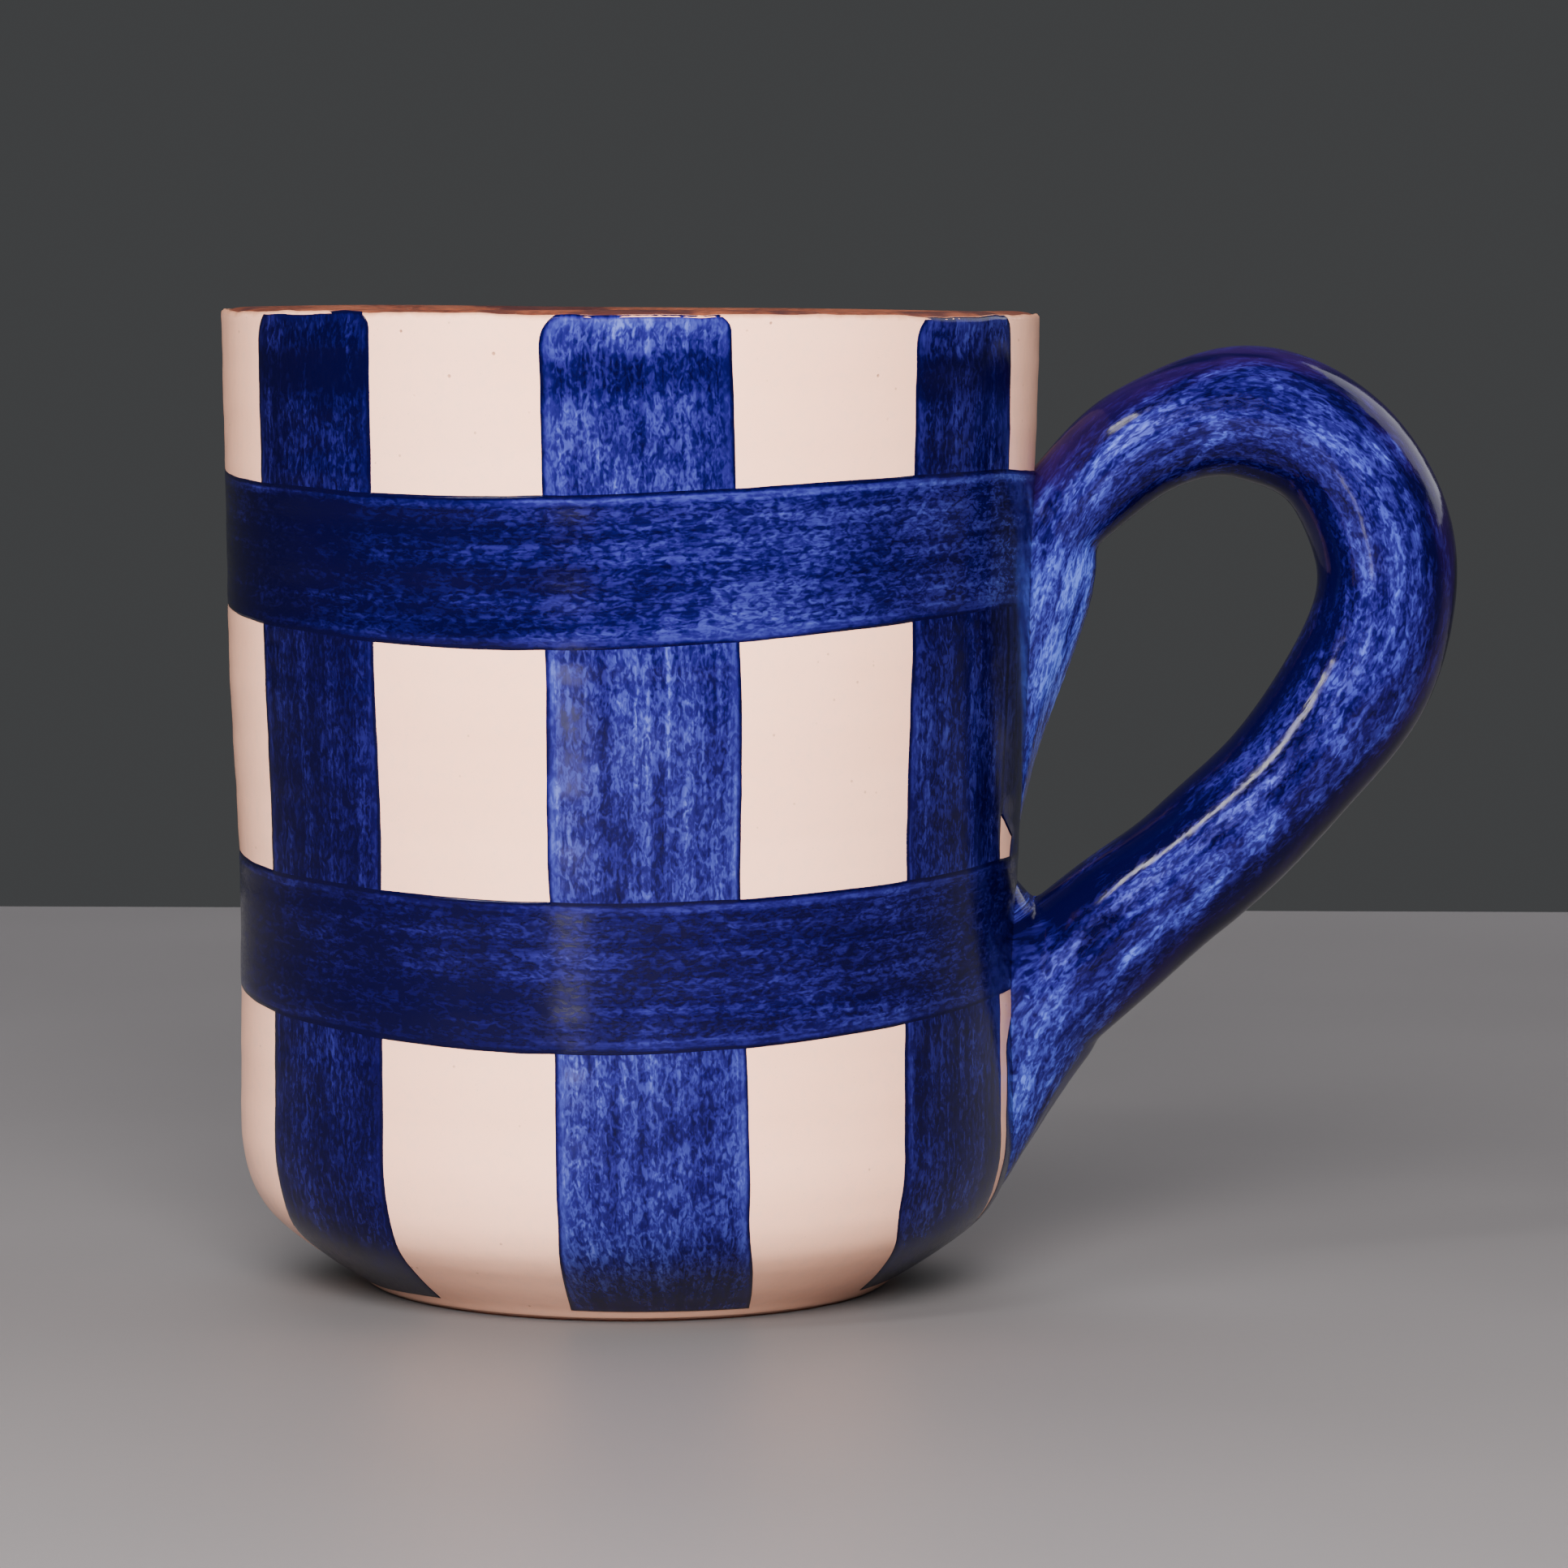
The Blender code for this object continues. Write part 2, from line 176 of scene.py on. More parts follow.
# The handle's fused skin: size of its remeshed faces, and the coil's radius for the brush marks
HANDLE_VOXEL = 0.55
HANDLE_ROUND = 7.0
# Line that the brush followed over the handle, from one smeared tip to the other
BRUSH_PATH = (
    (38.6, 46.0),
    (39.8, 60.0),
    (42.2, 70.0),
    (45.8, 79.5),
    (52.6, 86.9),
    (62.7, 89.8),
    (72.3, 85.6),
    (77.5, 75.2),
    (75.7, 64.0),
    (68.1, 52.9),
    (59.1, 44.0),
    (50.6, 36.8),
    (43.8, 29.5),
    (39.6, 20.0),
    (36.6, 6.0),
)


# ---------------------------------------------------------------- small maths


def smoothstep(low, high, value):
    t = np.clip((value - low) / (high - low), 0.0, 1.0)
    return t * t * (3.0 - 2.0 * t)


def wander(value, seed, amount, length):
    """Slow hand wobble: a few sine waves whose phases depend on the seed."""
    total = np.zeros_like(np.asarray(value, dtype=float))
    for k in range(1, 5):
        phase = (seed * 12.9898 + k * 78.233) % 6.283
        total = total + np.sin(value * math.tau * k**0.8 / length + phase) / k
    return total * amount / 2.0


def catmull(stations, t):
    """Smooth values through a row of stations for an array of t from 0 to 1."""
    rows = np.asarray(stations, dtype=float)
    last = len(rows) - 1
    place = np.clip(np.asarray(t, dtype=float) * last, 0.0, last - 1e-9)
    i = place.astype(int)
    u = (place - i)[:, None]
    a, b, c, d = (rows[np.clip(i + k, 0, last)] for k in (-1, 0, 1, 2))
    bend = 2 * a - 5 * b + 4 * c - d
    twist = 3 * b - 3 * c + d - a
    return 0.5 * (2 * b + (c - a) * u + bend * u**2 + twist * u**3)


CORNER_R, CORNER_Z = catmull(CORNER_STATIONS, np.linspace(0.0, 1.0, 900)).T


def surface_radius(z):
    """Radius of the glazed surface at any height, over the base corner too."""
    z = np.asarray(z, dtype=float)
    swell = WAIST_SWELL * smoothstep(SWELL_START, SWELL_END, z)
    wall = LOWER_RADIUS + swell + RIM_SWELL * smoothstep(SWELL_END, HEIGHT, z)
    return np.where(z < CORNER_HEIGHT, np.interp(z, CORNER_Z, CORNER_R), wall)


def surface_table():
    """Dense points up the glazed surface with their distance along it."""
    wall = np.linspace(CORNER_HEIGHT, HEIGHT + 1.0, 600)[1:]
    fine = np.concatenate([CORNER_Z, wall])
    radius = surface_radius(fine)
    step = np.hypot(np.diff(radius), np.diff(fine))
    return fine, np.concatenate([[0.0], np.cumsum(step)])


TABLE_Z, TABLE_S = surface_table()


def travel_at(z):
    return np.interp(z, TABLE_Z, TABLE_S)


def height_at(travel):
    return np.interp(travel, TABLE_S, TABLE_Z)


def relief(azimuth, z):
    """Throwing rings and the slight unevenness of a hand-thrown wall."""
    turn = np.radians(azimuth)
    rings = 0.022 * np.sin(z * math.tau / 7.3 + turn) + 0.012 * np.sin(z * math.tau / 3.1 - turn)
    rings = rings * smoothstep(6.0, 18.0, z)
    oval = 0.16 * np.cos(2.0 * turn + 0.8) + 0.08 * np.cos(3.0 * turn - 0.4)
    return rings + oval * smoothstep(10.0, 60.0, z)


def on_surface(azimuth, travel, rise):
    """Points on the mug's outside: azimuth, distance up the surface, and height above it."""
    z = height_at(travel)
    ahead = height_at(travel + 0.05)
    behind = height_at(np.maximum(travel - 0.05, 0.0))
    dr = surface_radius(ahead) - surface_radius(behind)
    dz = ahead - behind
    size = np.maximum(np.hypot(dr, dz), 1e-9)
    lift = rise + relief(azimuth, z)
    radius = surface_radius(z) + lift * dz / size
    height = z - lift * dr / size
    turn = np.radians(azimuth)
    return np.stack([radius * np.sin(turn), -radius * np.cos(turn), height], -1)


def glaze_line(azimuth):
    """Travel up the surface at which the glaze stops, a wavy line just under the lip."""
    arc = np.asarray(azimuth) * ARC_PER_DEGREE
    wave = wander(arc, 7, 0.16, FULL_ARC / 6) + wander(arc, 8, 0.08, FULL_ARC / 31)
    return travel_at(GLAZE_LINE) + wave


def glaze_bead(from_top):
    """Rise of the glaze where it gathers and rounds off under the lip."""
    return 0.03 * smoothstep(1.8, 0.7, from_top) - 0.26 * smoothstep(0.35, 0.0, from_top) ** 2


# ---------------------------------------------------------------- mesh building


def new_object(name, points, faces, smooth=True):
    mesh = bpy.data.meshes.new(name)
    mesh.from_pydata((np.asarray(points) * MM).tolist(), [], faces)
    mesh.validate()
    obj = bpy.data.objects.new(name, mesh)
    bpy.context.scene.collection.objects.link(obj)
    if smooth:
        mesh.shade_smooth()
    return obj


def lathe(name, outline, turns, shift):
    """Closed solid of revolution from an outline that starts and ends on the axis."""
    outline = np.asarray(outline, dtype=float)
    count = len(outline)
    azimuth = np.arange(turns) * 360.0 / turns
    a, r = np.meshgrid(azimuth, outline[:, 0])
    z = np.repeat(outline[:, 1][:, None], turns, 1)
    dr, dz = shift(a, r, z)
    r, z = r + dr, z + dz
    turn = np.radians(a)
    points = np.stack([r * np.sin(turn), -r * np.cos(turn), z], -1).reshape(-1, 3)
    faces = []
    for i in range(1, count - 2):
        low, high = i * turns, (i + 1) * turns
        for k in range(turns):
            m = (k + 1) % turns
            faces.append((low + k, low + m, high + m, high + k))
    last = (count - 2) * turns
    for k in range(turns):
        m = (k + 1) % turns
        faces.append((0, turns + m, turns + k))
        faces.append((last + k, last + m, last + turns))
    obj = new_object(name, points, faces)
    tidy_mesh(obj)
    return obj


def tidy_mesh(obj):
    """Weld the axis, drop loose points and face the surface outwards."""
    work = bmesh.new()
    work.from_mesh(obj.data)
    bmesh.ops.remove_doubles(work, verts=work.verts, dist=1e-7)
    loose = [v for v in work.verts if not v.link_faces]
    bmesh.ops.delete(work, geom=loose, context="VERTS")
    bmesh.ops.recalc_face_normals(work, faces=work.faces)
    if work.calc_volume(signed=True) < 0:
        bmesh.ops.reverse_faces(work, faces=work.faces)
    work.to_mesh(obj.data)
    work.free()


def store(mesh, name, values):
    """Keep a vector for every point of the mesh, for its material to read."""
    made = mesh.attributes.new(name, "FLOAT_VECTOR", "POINT")
    made.data.foreach_set("vector", np.asarray(values, dtype=np.float32).ravel())


def points_of(mesh):
    flat = np.empty(len(mesh.vertices) * 3)
    mesh.vertices.foreach_get("co", flat)
    return flat.reshape(-1, 3) / MM


# ---------------------------------------------------------------- brush layout


def band_edge(edge, azimuth, seed):
    low, swing, place = edge
    wave = swing * np.sin(np.radians(azimuth - place)) ** 2
    arc = np.asarray(azimuth) * ARC_PER_DEGREE
    hand = wander(arc, seed, 0.16, FULL_ARC / 4)
    return low + wave + hand + wander(arc, seed + 3, 0.05, FULL_ARC / 19)


def upright_edge(stroke, side, z):
    """Azimuth of the left (-1) or right (+1) edge of an upright stroke at some heights."""
    top, foot, wide_top, wide_foot, out_left, out_right = UPRIGHTS[stroke]
    share = 1.0 - z / HEIGHT
    centre = top + (foot - top) * share
    half = (wide_top + (wide_foot - wide_top) * share) / 2
    under = np.clip(1.0 - z / FLARE_START, 0.0, 1.0) ** 1.7
    flare = (out_left if side < 0 else out_right) * under
    seed = stroke * 2.3 + side
    hand = wander(z, seed, 0.30, 60.0) + wander(z, seed + 5, 0.07, 13.0)
    depth, reach = (3.6, 2.3) if side < 0 else (1.7, 1.5)
    corner = reach * np.clip((z - PAINT_TOP + depth) / depth, 0.0, 1.0) ** 3.0
    return centre + side * (half - corner) + hand + flare


def patch_edge(side, z):
    """Azimuth of the painted patch's edge beside the handle."""
    away = 15.4 - 7.5 * smoothstep(25.0, 31.0, z) * smoothstep(36.0, 31.0, z)
    away = away - 2.0 * smoothstep(45.0, 49.0, z) + 4.0 * smoothstep(50.0, 60.0, z)
    return HANDLE_AZIMUTH + side * (away + wander(z, 11 + side, 0.5, 30.0))


def cell_lines():
    """Every upright edge in order round the mug, with what lies to the right of each."""
    lines = []
    for stroke in range(len(UPRIGHTS)):
        lines.append((UPRIGHTS[stroke][0], stroke, -1))
        lines.append((UPRIGHTS[stroke][0] + 1.0, stroke, 1))
    lines.append((HANDLE_AZIMUTH, "patch", -1))
    lines.append((HANDLE_AZIMUTH + 1.0, "patch", 1))
    return sorted(lines, key=lambda item: item[0])


def line_azimuth(line, z):
    _, stroke, side = line
    return patch_edge(side, z) if stroke == "patch" else upright_edge(stroke, side, z)


def row_height(kind, azimuth):
    """Height of one of the level edges of the paint at some azimuths."""
    if kind == "foot":
        return PAINT_FOOT + wander(azimuth * ARC_PER_DEGREE, 31, 0.25, 63.0)
    if kind == "lower_foot":
        return band_edge(LOWER_BAND_FOOT, azimuth, 1)
    if kind == "lower_head":
        return band_edge(LOWER_BAND_HEAD, azimuth, 2)
    if kind == "patch_foot":
        near = smoothstep(64.0, 78.0, azimuth)
        return PATCH_FOOT_FAR + (PATCH_FOOT_NEAR - PATCH_FOOT_FAR) * near
    if kind == "upper_foot":
        return band_edge(UPPER_BAND_FOOT, azimuth, 3)
    if kind == "upper_head":
        return band_edge(UPPER_BAND_HEAD, azimuth, 4)
    return height_at(glaze_line(azimuth) - 0.03)


ROW_KINDS = (
    "foot",
    "lower_foot",
    "lower_head",
    "patch_foot",
    "upper_foot",
    "upper_head",
    "top",
)
BAND_ROWS = (ROW_KINDS.index("lower_foot"), ROW_KINDS.index("upper_foot"))
GAP_BESIDE_HANDLE = ROW_KINDS.index("patch_foot")
PATCH_END = ROW_KINDS.index("upper_head")


def is_painted(column, row):
    """Whether the space between two upright lines and two rows holds paint."""
    _, stroke, side = column
    if row in BAND_ROWS:
        return True
    if stroke == "patch":
        return side < 0 and row < PATCH_END
    beside_patch = stroke == RIGHT_UPRIGHT and row == GAP_BESIDE_HANDLE
    return side < 0 or beside_patch


def brush_grid():
    """Grid lines that follow every edge of the brushwork, so the paint's outline is crisp."""
    lines = cell_lines()
    fractions_u = []
    for n, line in enumerate(lines):
        here = line_azimuth(line, GRID_HEIGHT)
        after = line_azimuth(lines[(n + 1) % len(lines)], GRID_HEIGHT)
        if n == len(lines) - 1:
            after += 360.0
        count = max(3, round(float(after - here) * ARC_PER_DEGREE / GRID_ROUND))
        for i in range(count):
            fractions_u.append((n, ease(i / count)))
    fractions_v = []
    for n in range(len(ROW_KINDS) - 1):
        low = travel_at(float(row_height(ROW_KINDS[n], 0.0)))
        high = travel_at(float(row_height(ROW_KINDS[n + 1], 0.0)))
        count = max(3, round(float(high - low) / GRID_UP))
        for i in range(count):
            fractions_v.append((n, ease(i / count)))
    fractions_v.append((len(ROW_KINDS) - 2, 1.0))
    return lines, fractions_u, fractions_v


def ease(t):
    """Crowds the grid a little towards both edges of a stroke."""
    return t - 0.10 * math.sin(math.tau * t)


def grid_places(lines, fractions_u, fractions_v):
    """Azimuth and distance up the surface of every crossing of the brush grid."""
    n_u, n_v = len(fractions_u), len(fractions_v)
    azimuth = np.zeros((n_v, n_u))
    travel = np.zeros((n_v, n_u))
    guess = np.array([line_azimuth(lines[n], GRID_HEIGHT) + 6.0 * t for n, t in fractions_u])
    for v, (row, t) in enumerate(fractions_v):
        a = guess.copy()
        for _ in range(4):
            low = travel_at(row_height(ROW_KINDS[row], a))
            high = travel_at(row_height(ROW_KINDS[row + 1], a))
            s = low + (high - low) * t
            z = height_at(s)
            edges = [line_azimuth(line, z) for line in lines]
            edges = np.array([*edges, edges[0] + 360.0])
            new = np.empty_like(a)
            for u, (n, share) in enumerate(fractions_u):
                new[u] = edges[n, u] + (edges[n + 1, u] - edges[n, u]) * share
            a = new
        azimuth[v] = a
        travel[v] = s
    return azimuth, travel


# ---------------------------------------------------------------- the pieces


def make_check():
    """The brushed check: one closed film of paint standing a hair above the glaze."""
    lines, columns, rows = brush_grid()
    azimuth, travel = grid_places(lines, columns, rows)
    n_v, n_u = azimuth.shape
    kept = np.zeros((n_v - 1, n_u), dtype=bool)
    for v in range(n_v - 1):
        for u in range(n_u):
            kept[v, u] = is_painted(lines[columns[u][0]], rows[v][0])
    touched = np.zeros((n_v, n_u), dtype=int)
    for dv in (0, 1):
        for du in (0, 1):
            touched[dv : n_v - 1 + dv] += np.roll(kept, du, axis=1)
    inside = touched == 4
    z = height_at(travel)
    arc = np.radians(azimuth) * LOWER_RADIUS
    edge_points = np.argwhere((touched > 0) & ~inside)
    tree = KDTree(len(edge_points))
    for i, (v, u) in enumerate(edge_points):
        tree.insert((arc[v, u], travel[v, u], 0.0), i)
    tree.balance()
    edge = np.zeros((n_v, n_u))
    for v, u in np.argwhere(touched > 0):
        edge[v, u] = tree.find((arc[v, u], travel[v, u], 0.0))[2]
    rise = PAINT_EDGE + (PAINT_RISE - PAINT_EDGE) * smoothstep(0.0, 0.9, edge)
    rise = rise + glaze_bead(glaze_line(azimuth) - travel)
    top = on_surface(azimuth, travel, rise)
    under = on_surface(azimuth, travel, np.full_like(rise, -GLAZE_DEPTH / 2))
    total = n_v * n_u
    faces = []
    levels = []
    for v, u in np.argwhere(kept):
        m = (u + 1) % n_u
        a, b = v * n_u + u, v * n_u + m
        c, d = b + n_u, a + n_u
        is_level = rows[v][0] in BAND_ROWS
        quads = [(a, b, c, d), (a + total, d + total, c + total, b + total)]
        if v == 0 or not kept[v - 1, u]:
            quads.append((a, a + total, b + total, b))
        if v == n_v - 2 or not kept[v + 1, u]:
            quads.append((d, c, c + total, d + total))
        if not kept[v, u - 1]:
            quads.append((a, d, d + total, a + total))
        if not kept[v, m]:
            quads.append((b, b + total, c + total, c))
        faces += quads
        levels += [is_level] * len(quads)
    points = np.concatenate([top.reshape(-1, 3), under.reshape(-1, 3)])
    used = np.unique(np.array([i for f in faces for i in f]))
    renumber = np.full(len(points), -1)
    renumber[used] = np.arange(len(used))
    faces = [tuple(int(renumber[i]) for i in f) for f in faces]
    obj = new_object("cobalt_check", points[used], faces)
    mesh = obj.data
    mesh.polygons.foreach_set("material_index", [int(flag) for flag in levels])

    mm_per_degree = math.radians(LOWER_RADIUS)
    across_up, edge_up, ident = np.empty((3, n_v, n_u))
    for u, (n, _) in enumerate(columns):
        stroke = lines[n][1]
        if stroke == "patch":
            left, right = patch_edge(-1, z[:, u]), patch_edge(1, z[:, u])
            number = PATCH_NUMBER
        else:
            left, right = upright_edge(stroke, -1, z[:, u]), upright_edge(stroke, 1, z[:, u])
            number = float(stroke)
        middle = (left + right) / 2
        across_up[:, u] = (azimuth[:, u] - middle) * mm_per_degree
        near = np.minimum(np.abs(azimuth[:, u] - left), np.abs(right - azimuth[:, u]))
        edge_up[:, u] = near * mm_per_degree
        ident[:, u] = number
    upper = z > BETWEEN_BANDS
    foot = np.where(upper, row_height("upper_foot", azimuth), row_height("lower_foot", azimuth))
    head = np.where(upper, row_height("upper_head", azimuth), row_height("lower_head", azimuth))
    across_level = z - (foot + head) / 2
    edge_level = np.minimum(np.abs(z - foot), np.abs(head - z))
    pick = used[used < total]
    both = np.concatenate([pick, used[used >= total] - total])

    def flat(grid):
        return grid.reshape(-1)[both]

    store(mesh, "upright", np.stack([flat(across_up), flat(travel), flat(edge_up)], -1))
    store(mesh, "level", np.stack([flat(arc), flat(across_level), flat(edge_level)], -1))
    store(mesh, "outline", np.stack([flat(edge), flat(ident), flat(z)], -1))
    return obj


def make_cream():
    """The cream glaze over the outside: closed shell with a wavy upper edge."""
    turns = 300
    foot, top = travel_at(GLAZE_FOOT), travel_at(GLAZE_LINE)
    corner, bead = travel_at(CORNER_HEIGHT), travel_at(GLAZE_LINE - GLAZE_BEAD_START)
    spans = np.concatenate(
        [
            np.linspace(foot, corner, 40),
            np.linspace(corner, bead, 104)[1:],
            np.linspace(bead, top, 7)[1:],
        ]
    )
    azimuth = np.arange(turns) * 360.0 / turns
    a, s = np.meshgrid(azimuth, spans)
    s = s + smoothstep(bead, top, s) * (glaze_line(a) - top)
    from_top = glaze_line(a) - s
    low = smoothstep(foot + 0.5, foot, s)
    outer = on_surface(a, s, glaze_bead(from_top) - 0.15 * low)
    inner = on_surface(a, s, np.full_like(a, -GLAZE_DEPTH))
    rows = len(spans)
    total = rows * turns
    faces = []
    for v in range(rows - 1):
        for u in range(turns):
            m = (u + 1) % turns
            p, q = v * turns + u, v * turns + m
            faces.append((p, q, q + turns, p + turns))
            faces.append((p + total, p + turns + total, q + turns + total, q + total))
    for u in range(turns):
        m = (u + 1) % turns
        faces.append((u, u + total, m + total, m))
        high = (rows - 1) * turns
        faces.append((high + u, high + m, high + m + total, high + u + total))
    points = np.concatenate([outer.reshape(-1, 3), inner.reshape(-1, 3)])
    obj = new_object("cream_glaze_coat", points, faces)
    rim = np.concatenate([from_top.ravel(), from_top.ravel()])
    store(obj.data, "rim_distance", np.stack([rim, rim * 0, rim * 0], -1))
    return obj


def inner_curve(depth, top):
    """Inside face of the cup, from the axis over the floor and up the wall."""
    foot = float(surface_radius(INNER_WALL_START)) - WALL + depth
    corner = INNER_CORNER - depth
    floor = FLOOR - depth
    outline = [(x, floor) for x in np.linspace(0.0, foot - corner, 14)]
    for angle in np.linspace(0.0, math.pi / 2, 18)[1:]:
        x = foot - corner * (1.0 - math.sin(angle))
        outline.append((x, floor + corner * (1.0 - math.cos(angle))))
    for z in np.linspace(outline[-1][1], top, 78)[1:]:
        radius = float(surface_radius(max(z, INNER_WALL_START)))
        outline.append((radius - WALL + depth, z))
    return outline


def inner_shift(a, r, z):
    """Finger ridges that spiral up the inside and over the floor."""
    turn = np.radians(a)
    wall = 0.16 * np.sin(z * math.tau / 8.6 + turn) * smoothstep(16.0, 26.0, z)
    wall = wall * smoothstep(97.0, 88.0, z)
    bed = 0.18 * np.sin(r * math.tau / 7.0 - turn) * smoothstep(3.0, 8.0, r)
    bed = bed * smoothstep(12.0, 7.5, z) * smoothstep(26.0, 20.0, r)
    return wall * smoothstep(20.0, 24.0, r), bed


def make_lining():
    """Glaze lining of the cup, a closed skin with finger ridges."""
    face = np.array(inner_curve(0.0, GLAZE_LINE - 0.2))
    back = np.array(inner_curve(GLAZE_DEPTH, GLAZE_LINE - 0.2))
    return lathe("cup_lining", np.concatenate([face, back[::-1]]), 200, inner_shift)


def make_clay():
    """The thrown clay: it shows at the rounded lip and at the foot."""
    rim = float(surface_radius(HEIGHT))
    outer = rim - 0.20
    inner = rim - WALL + 0.16
    middle, half = (outer + inner) / 2, (outer - inner) / 2
    outline = [(0.0, 0.0), (10.0, 0.0), (20.0, 0.0), (FOOT_RADIUS - 1.0, 0.0)]
    outline += [(FOOT_RADIUS - 0.6, 0.08), (FOOT_RADIUS - 0.4, 0.45)]
    for s in np.linspace(travel_at(0.9), travel_at(CLAY_TOP), 60):
        z = float(height_at(s))
        outline.append((float(surface_radius(z)) - GLAZE_DEPTH - 0.05, z + 0.5 * (z < 3.0)))
    outline.append((outer - 0.02, LIP_START))
    for angle in np.linspace(0.0, math.pi, 22):
        on_top = 0.0 < angle < math.pi - 1e-6
        rise = LIP_ROUND * math.sin(angle) ** 0.6 if on_top else 0.0
        outline.append((middle + half * math.cos(angle), HEIGHT - LIP_ROUND + rise))
    outline.append((inner + 0.02, LIP_START))
    back = np.array(inner_curve(GLAZE_DEPTH + 0.05, CLAY_TOP))
    outline += [tuple(p) for p in back[::-1]]

    def shift(a, r, z):
        turn = np.radians(a)
        high = smoothstep(LIP_START - 2.5, LIP_START, z)
        wobble = relief(a, z) * smoothstep(3.0, 12.0, z) * smoothstep(30.0, 34.0, r)
        dip = (0.07 * np.sin(turn * 2 + 0.4) + 0.04 * np.sin(turn * 5 + 1.1)) * high
        return wobble, dip - 0.10 * high

    return lathe("clay_body_and_lip", outline, 256, shift)


def tail_solid(stations):
    """Closed lump of clay smeared down the wall, sunk a little into it."""
    rows, columns = 70, 28
    t = np.linspace(0.0, 1.0, rows + 1)
    z, stand, half = catmull(stations, t).T
    u = -np.cos(np.pi * np.linspace(0.0, 1.0, columns + 1))
    uu, zz = np.meshgrid(u, z)
    stand = np.repeat(stand[:, None], columns + 1, 1)
    half = np.repeat(half[:, None], columns + 1, 1)
    radius = surface_radius(zz)
    azimuth = HANDLE_AZIMUTH + np.degrees(half * uu / radius)
    drag = 0.22 * np.sin(uu * 9.0 + zz * 0.05) * (1.0 - uu**2) * np.clip(stand, 0.0, 2.0)
    shape = (1.0 - uu**2) ** 0.8
    rise = np.where(stand > 0, stand * shape, stand) - 0.25 * (1.0 - shape) + drag * 0.5
    turn = np.radians(azimuth)
    front = np.stack([(radius + rise) * np.sin(turn), -(radius + rise) * np.cos(turn), zz], -1)
    deep = radius - TAIL_SINK
    back = np.stack([deep * np.sin(turn), -deep * np.cos(turn), zz], -1)
    row = columns + 1
    total = (rows + 1) * row
    faces = []
    for i in range(rows):
        for k in range(columns):
            a = i * row + k
            faces.append((a, a + 1, a + 1 + row, a + row))
            faces.append((a + total, a + row + total, a + row + 1 + total, a + 1 + total))
        left, right = i * row, i * row + columns
        faces.append((left, left + row, left + row + total, left + total))
        faces.append((right, right + total, right + row + total, right + row))
    for k in range(columns):
        low = rows * row + k
        faces.append((k, k + total, k + 1 + total, k + 1))
        faces.append((low, low + 1, low + 1 + total, low + total))
    return np.concatenate([front.reshape(-1, 3), back.reshape(-1, 3)]), faces


def coil_solid():
    """The rolled coil: an uneven round rod bent into the loop."""
    loops, sides = 200, 56
    t = np.linspace(0.0, 1.0, loops + 1)
    x, z, thick = catmull(COIL, t).T
    before = catmull(COIL, np.clip(t - 0.003, 0, 1))
    after = catmull(COIL, np.clip(t + 0.003, 0, 1))
    along = np.stack([after[:, 0] - before[:, 0], after[:, 1] - before[:, 1]], -1)
    along /= np.linalg.norm(along, axis=1)[:, None]
    across = np.stack([-along[:, 1], along[:, 0]], -1)
    angle = np.linspace(0.0, math.tau, sides, endpoint=False)
    aa, tt = np.meshgrid(angle, t)
    uneven = 0.10 * np.sin(tt * 23 + 2 * aa) + 0.12 * np.sin(tt * 41 + 1.3)
    uneven = uneven + 0.07 * np.sin(3 * aa + tt * 17)
    half = thick[:, None] / 2 + uneven
    depth = thick[:, None] / 2 * COIL_DEPTH_RATIO + uneven
    px = x[:, None] + across[:, :1] * half * np.cos(aa)
    pz = z[:, None] + across[:, 1:] * half * np.cos(aa)
    py = depth * np.sin(aa) + 0.25 * np.sin(tt * 6.0)
    points = np.stack([px, py, pz], -1).reshape(-1, 3)
    faces = []
    for i in range(loops):
        for k in range(sides):
            a, b = i * sides + k, i * sides + (k + 1) % sides
            faces.append((a, b, b + sides, a + sides))
    faces.append(tuple(range(sides)))
    faces.append(tuple(range(loops * sides, (loops + 1) * sides)))
    return points, faces


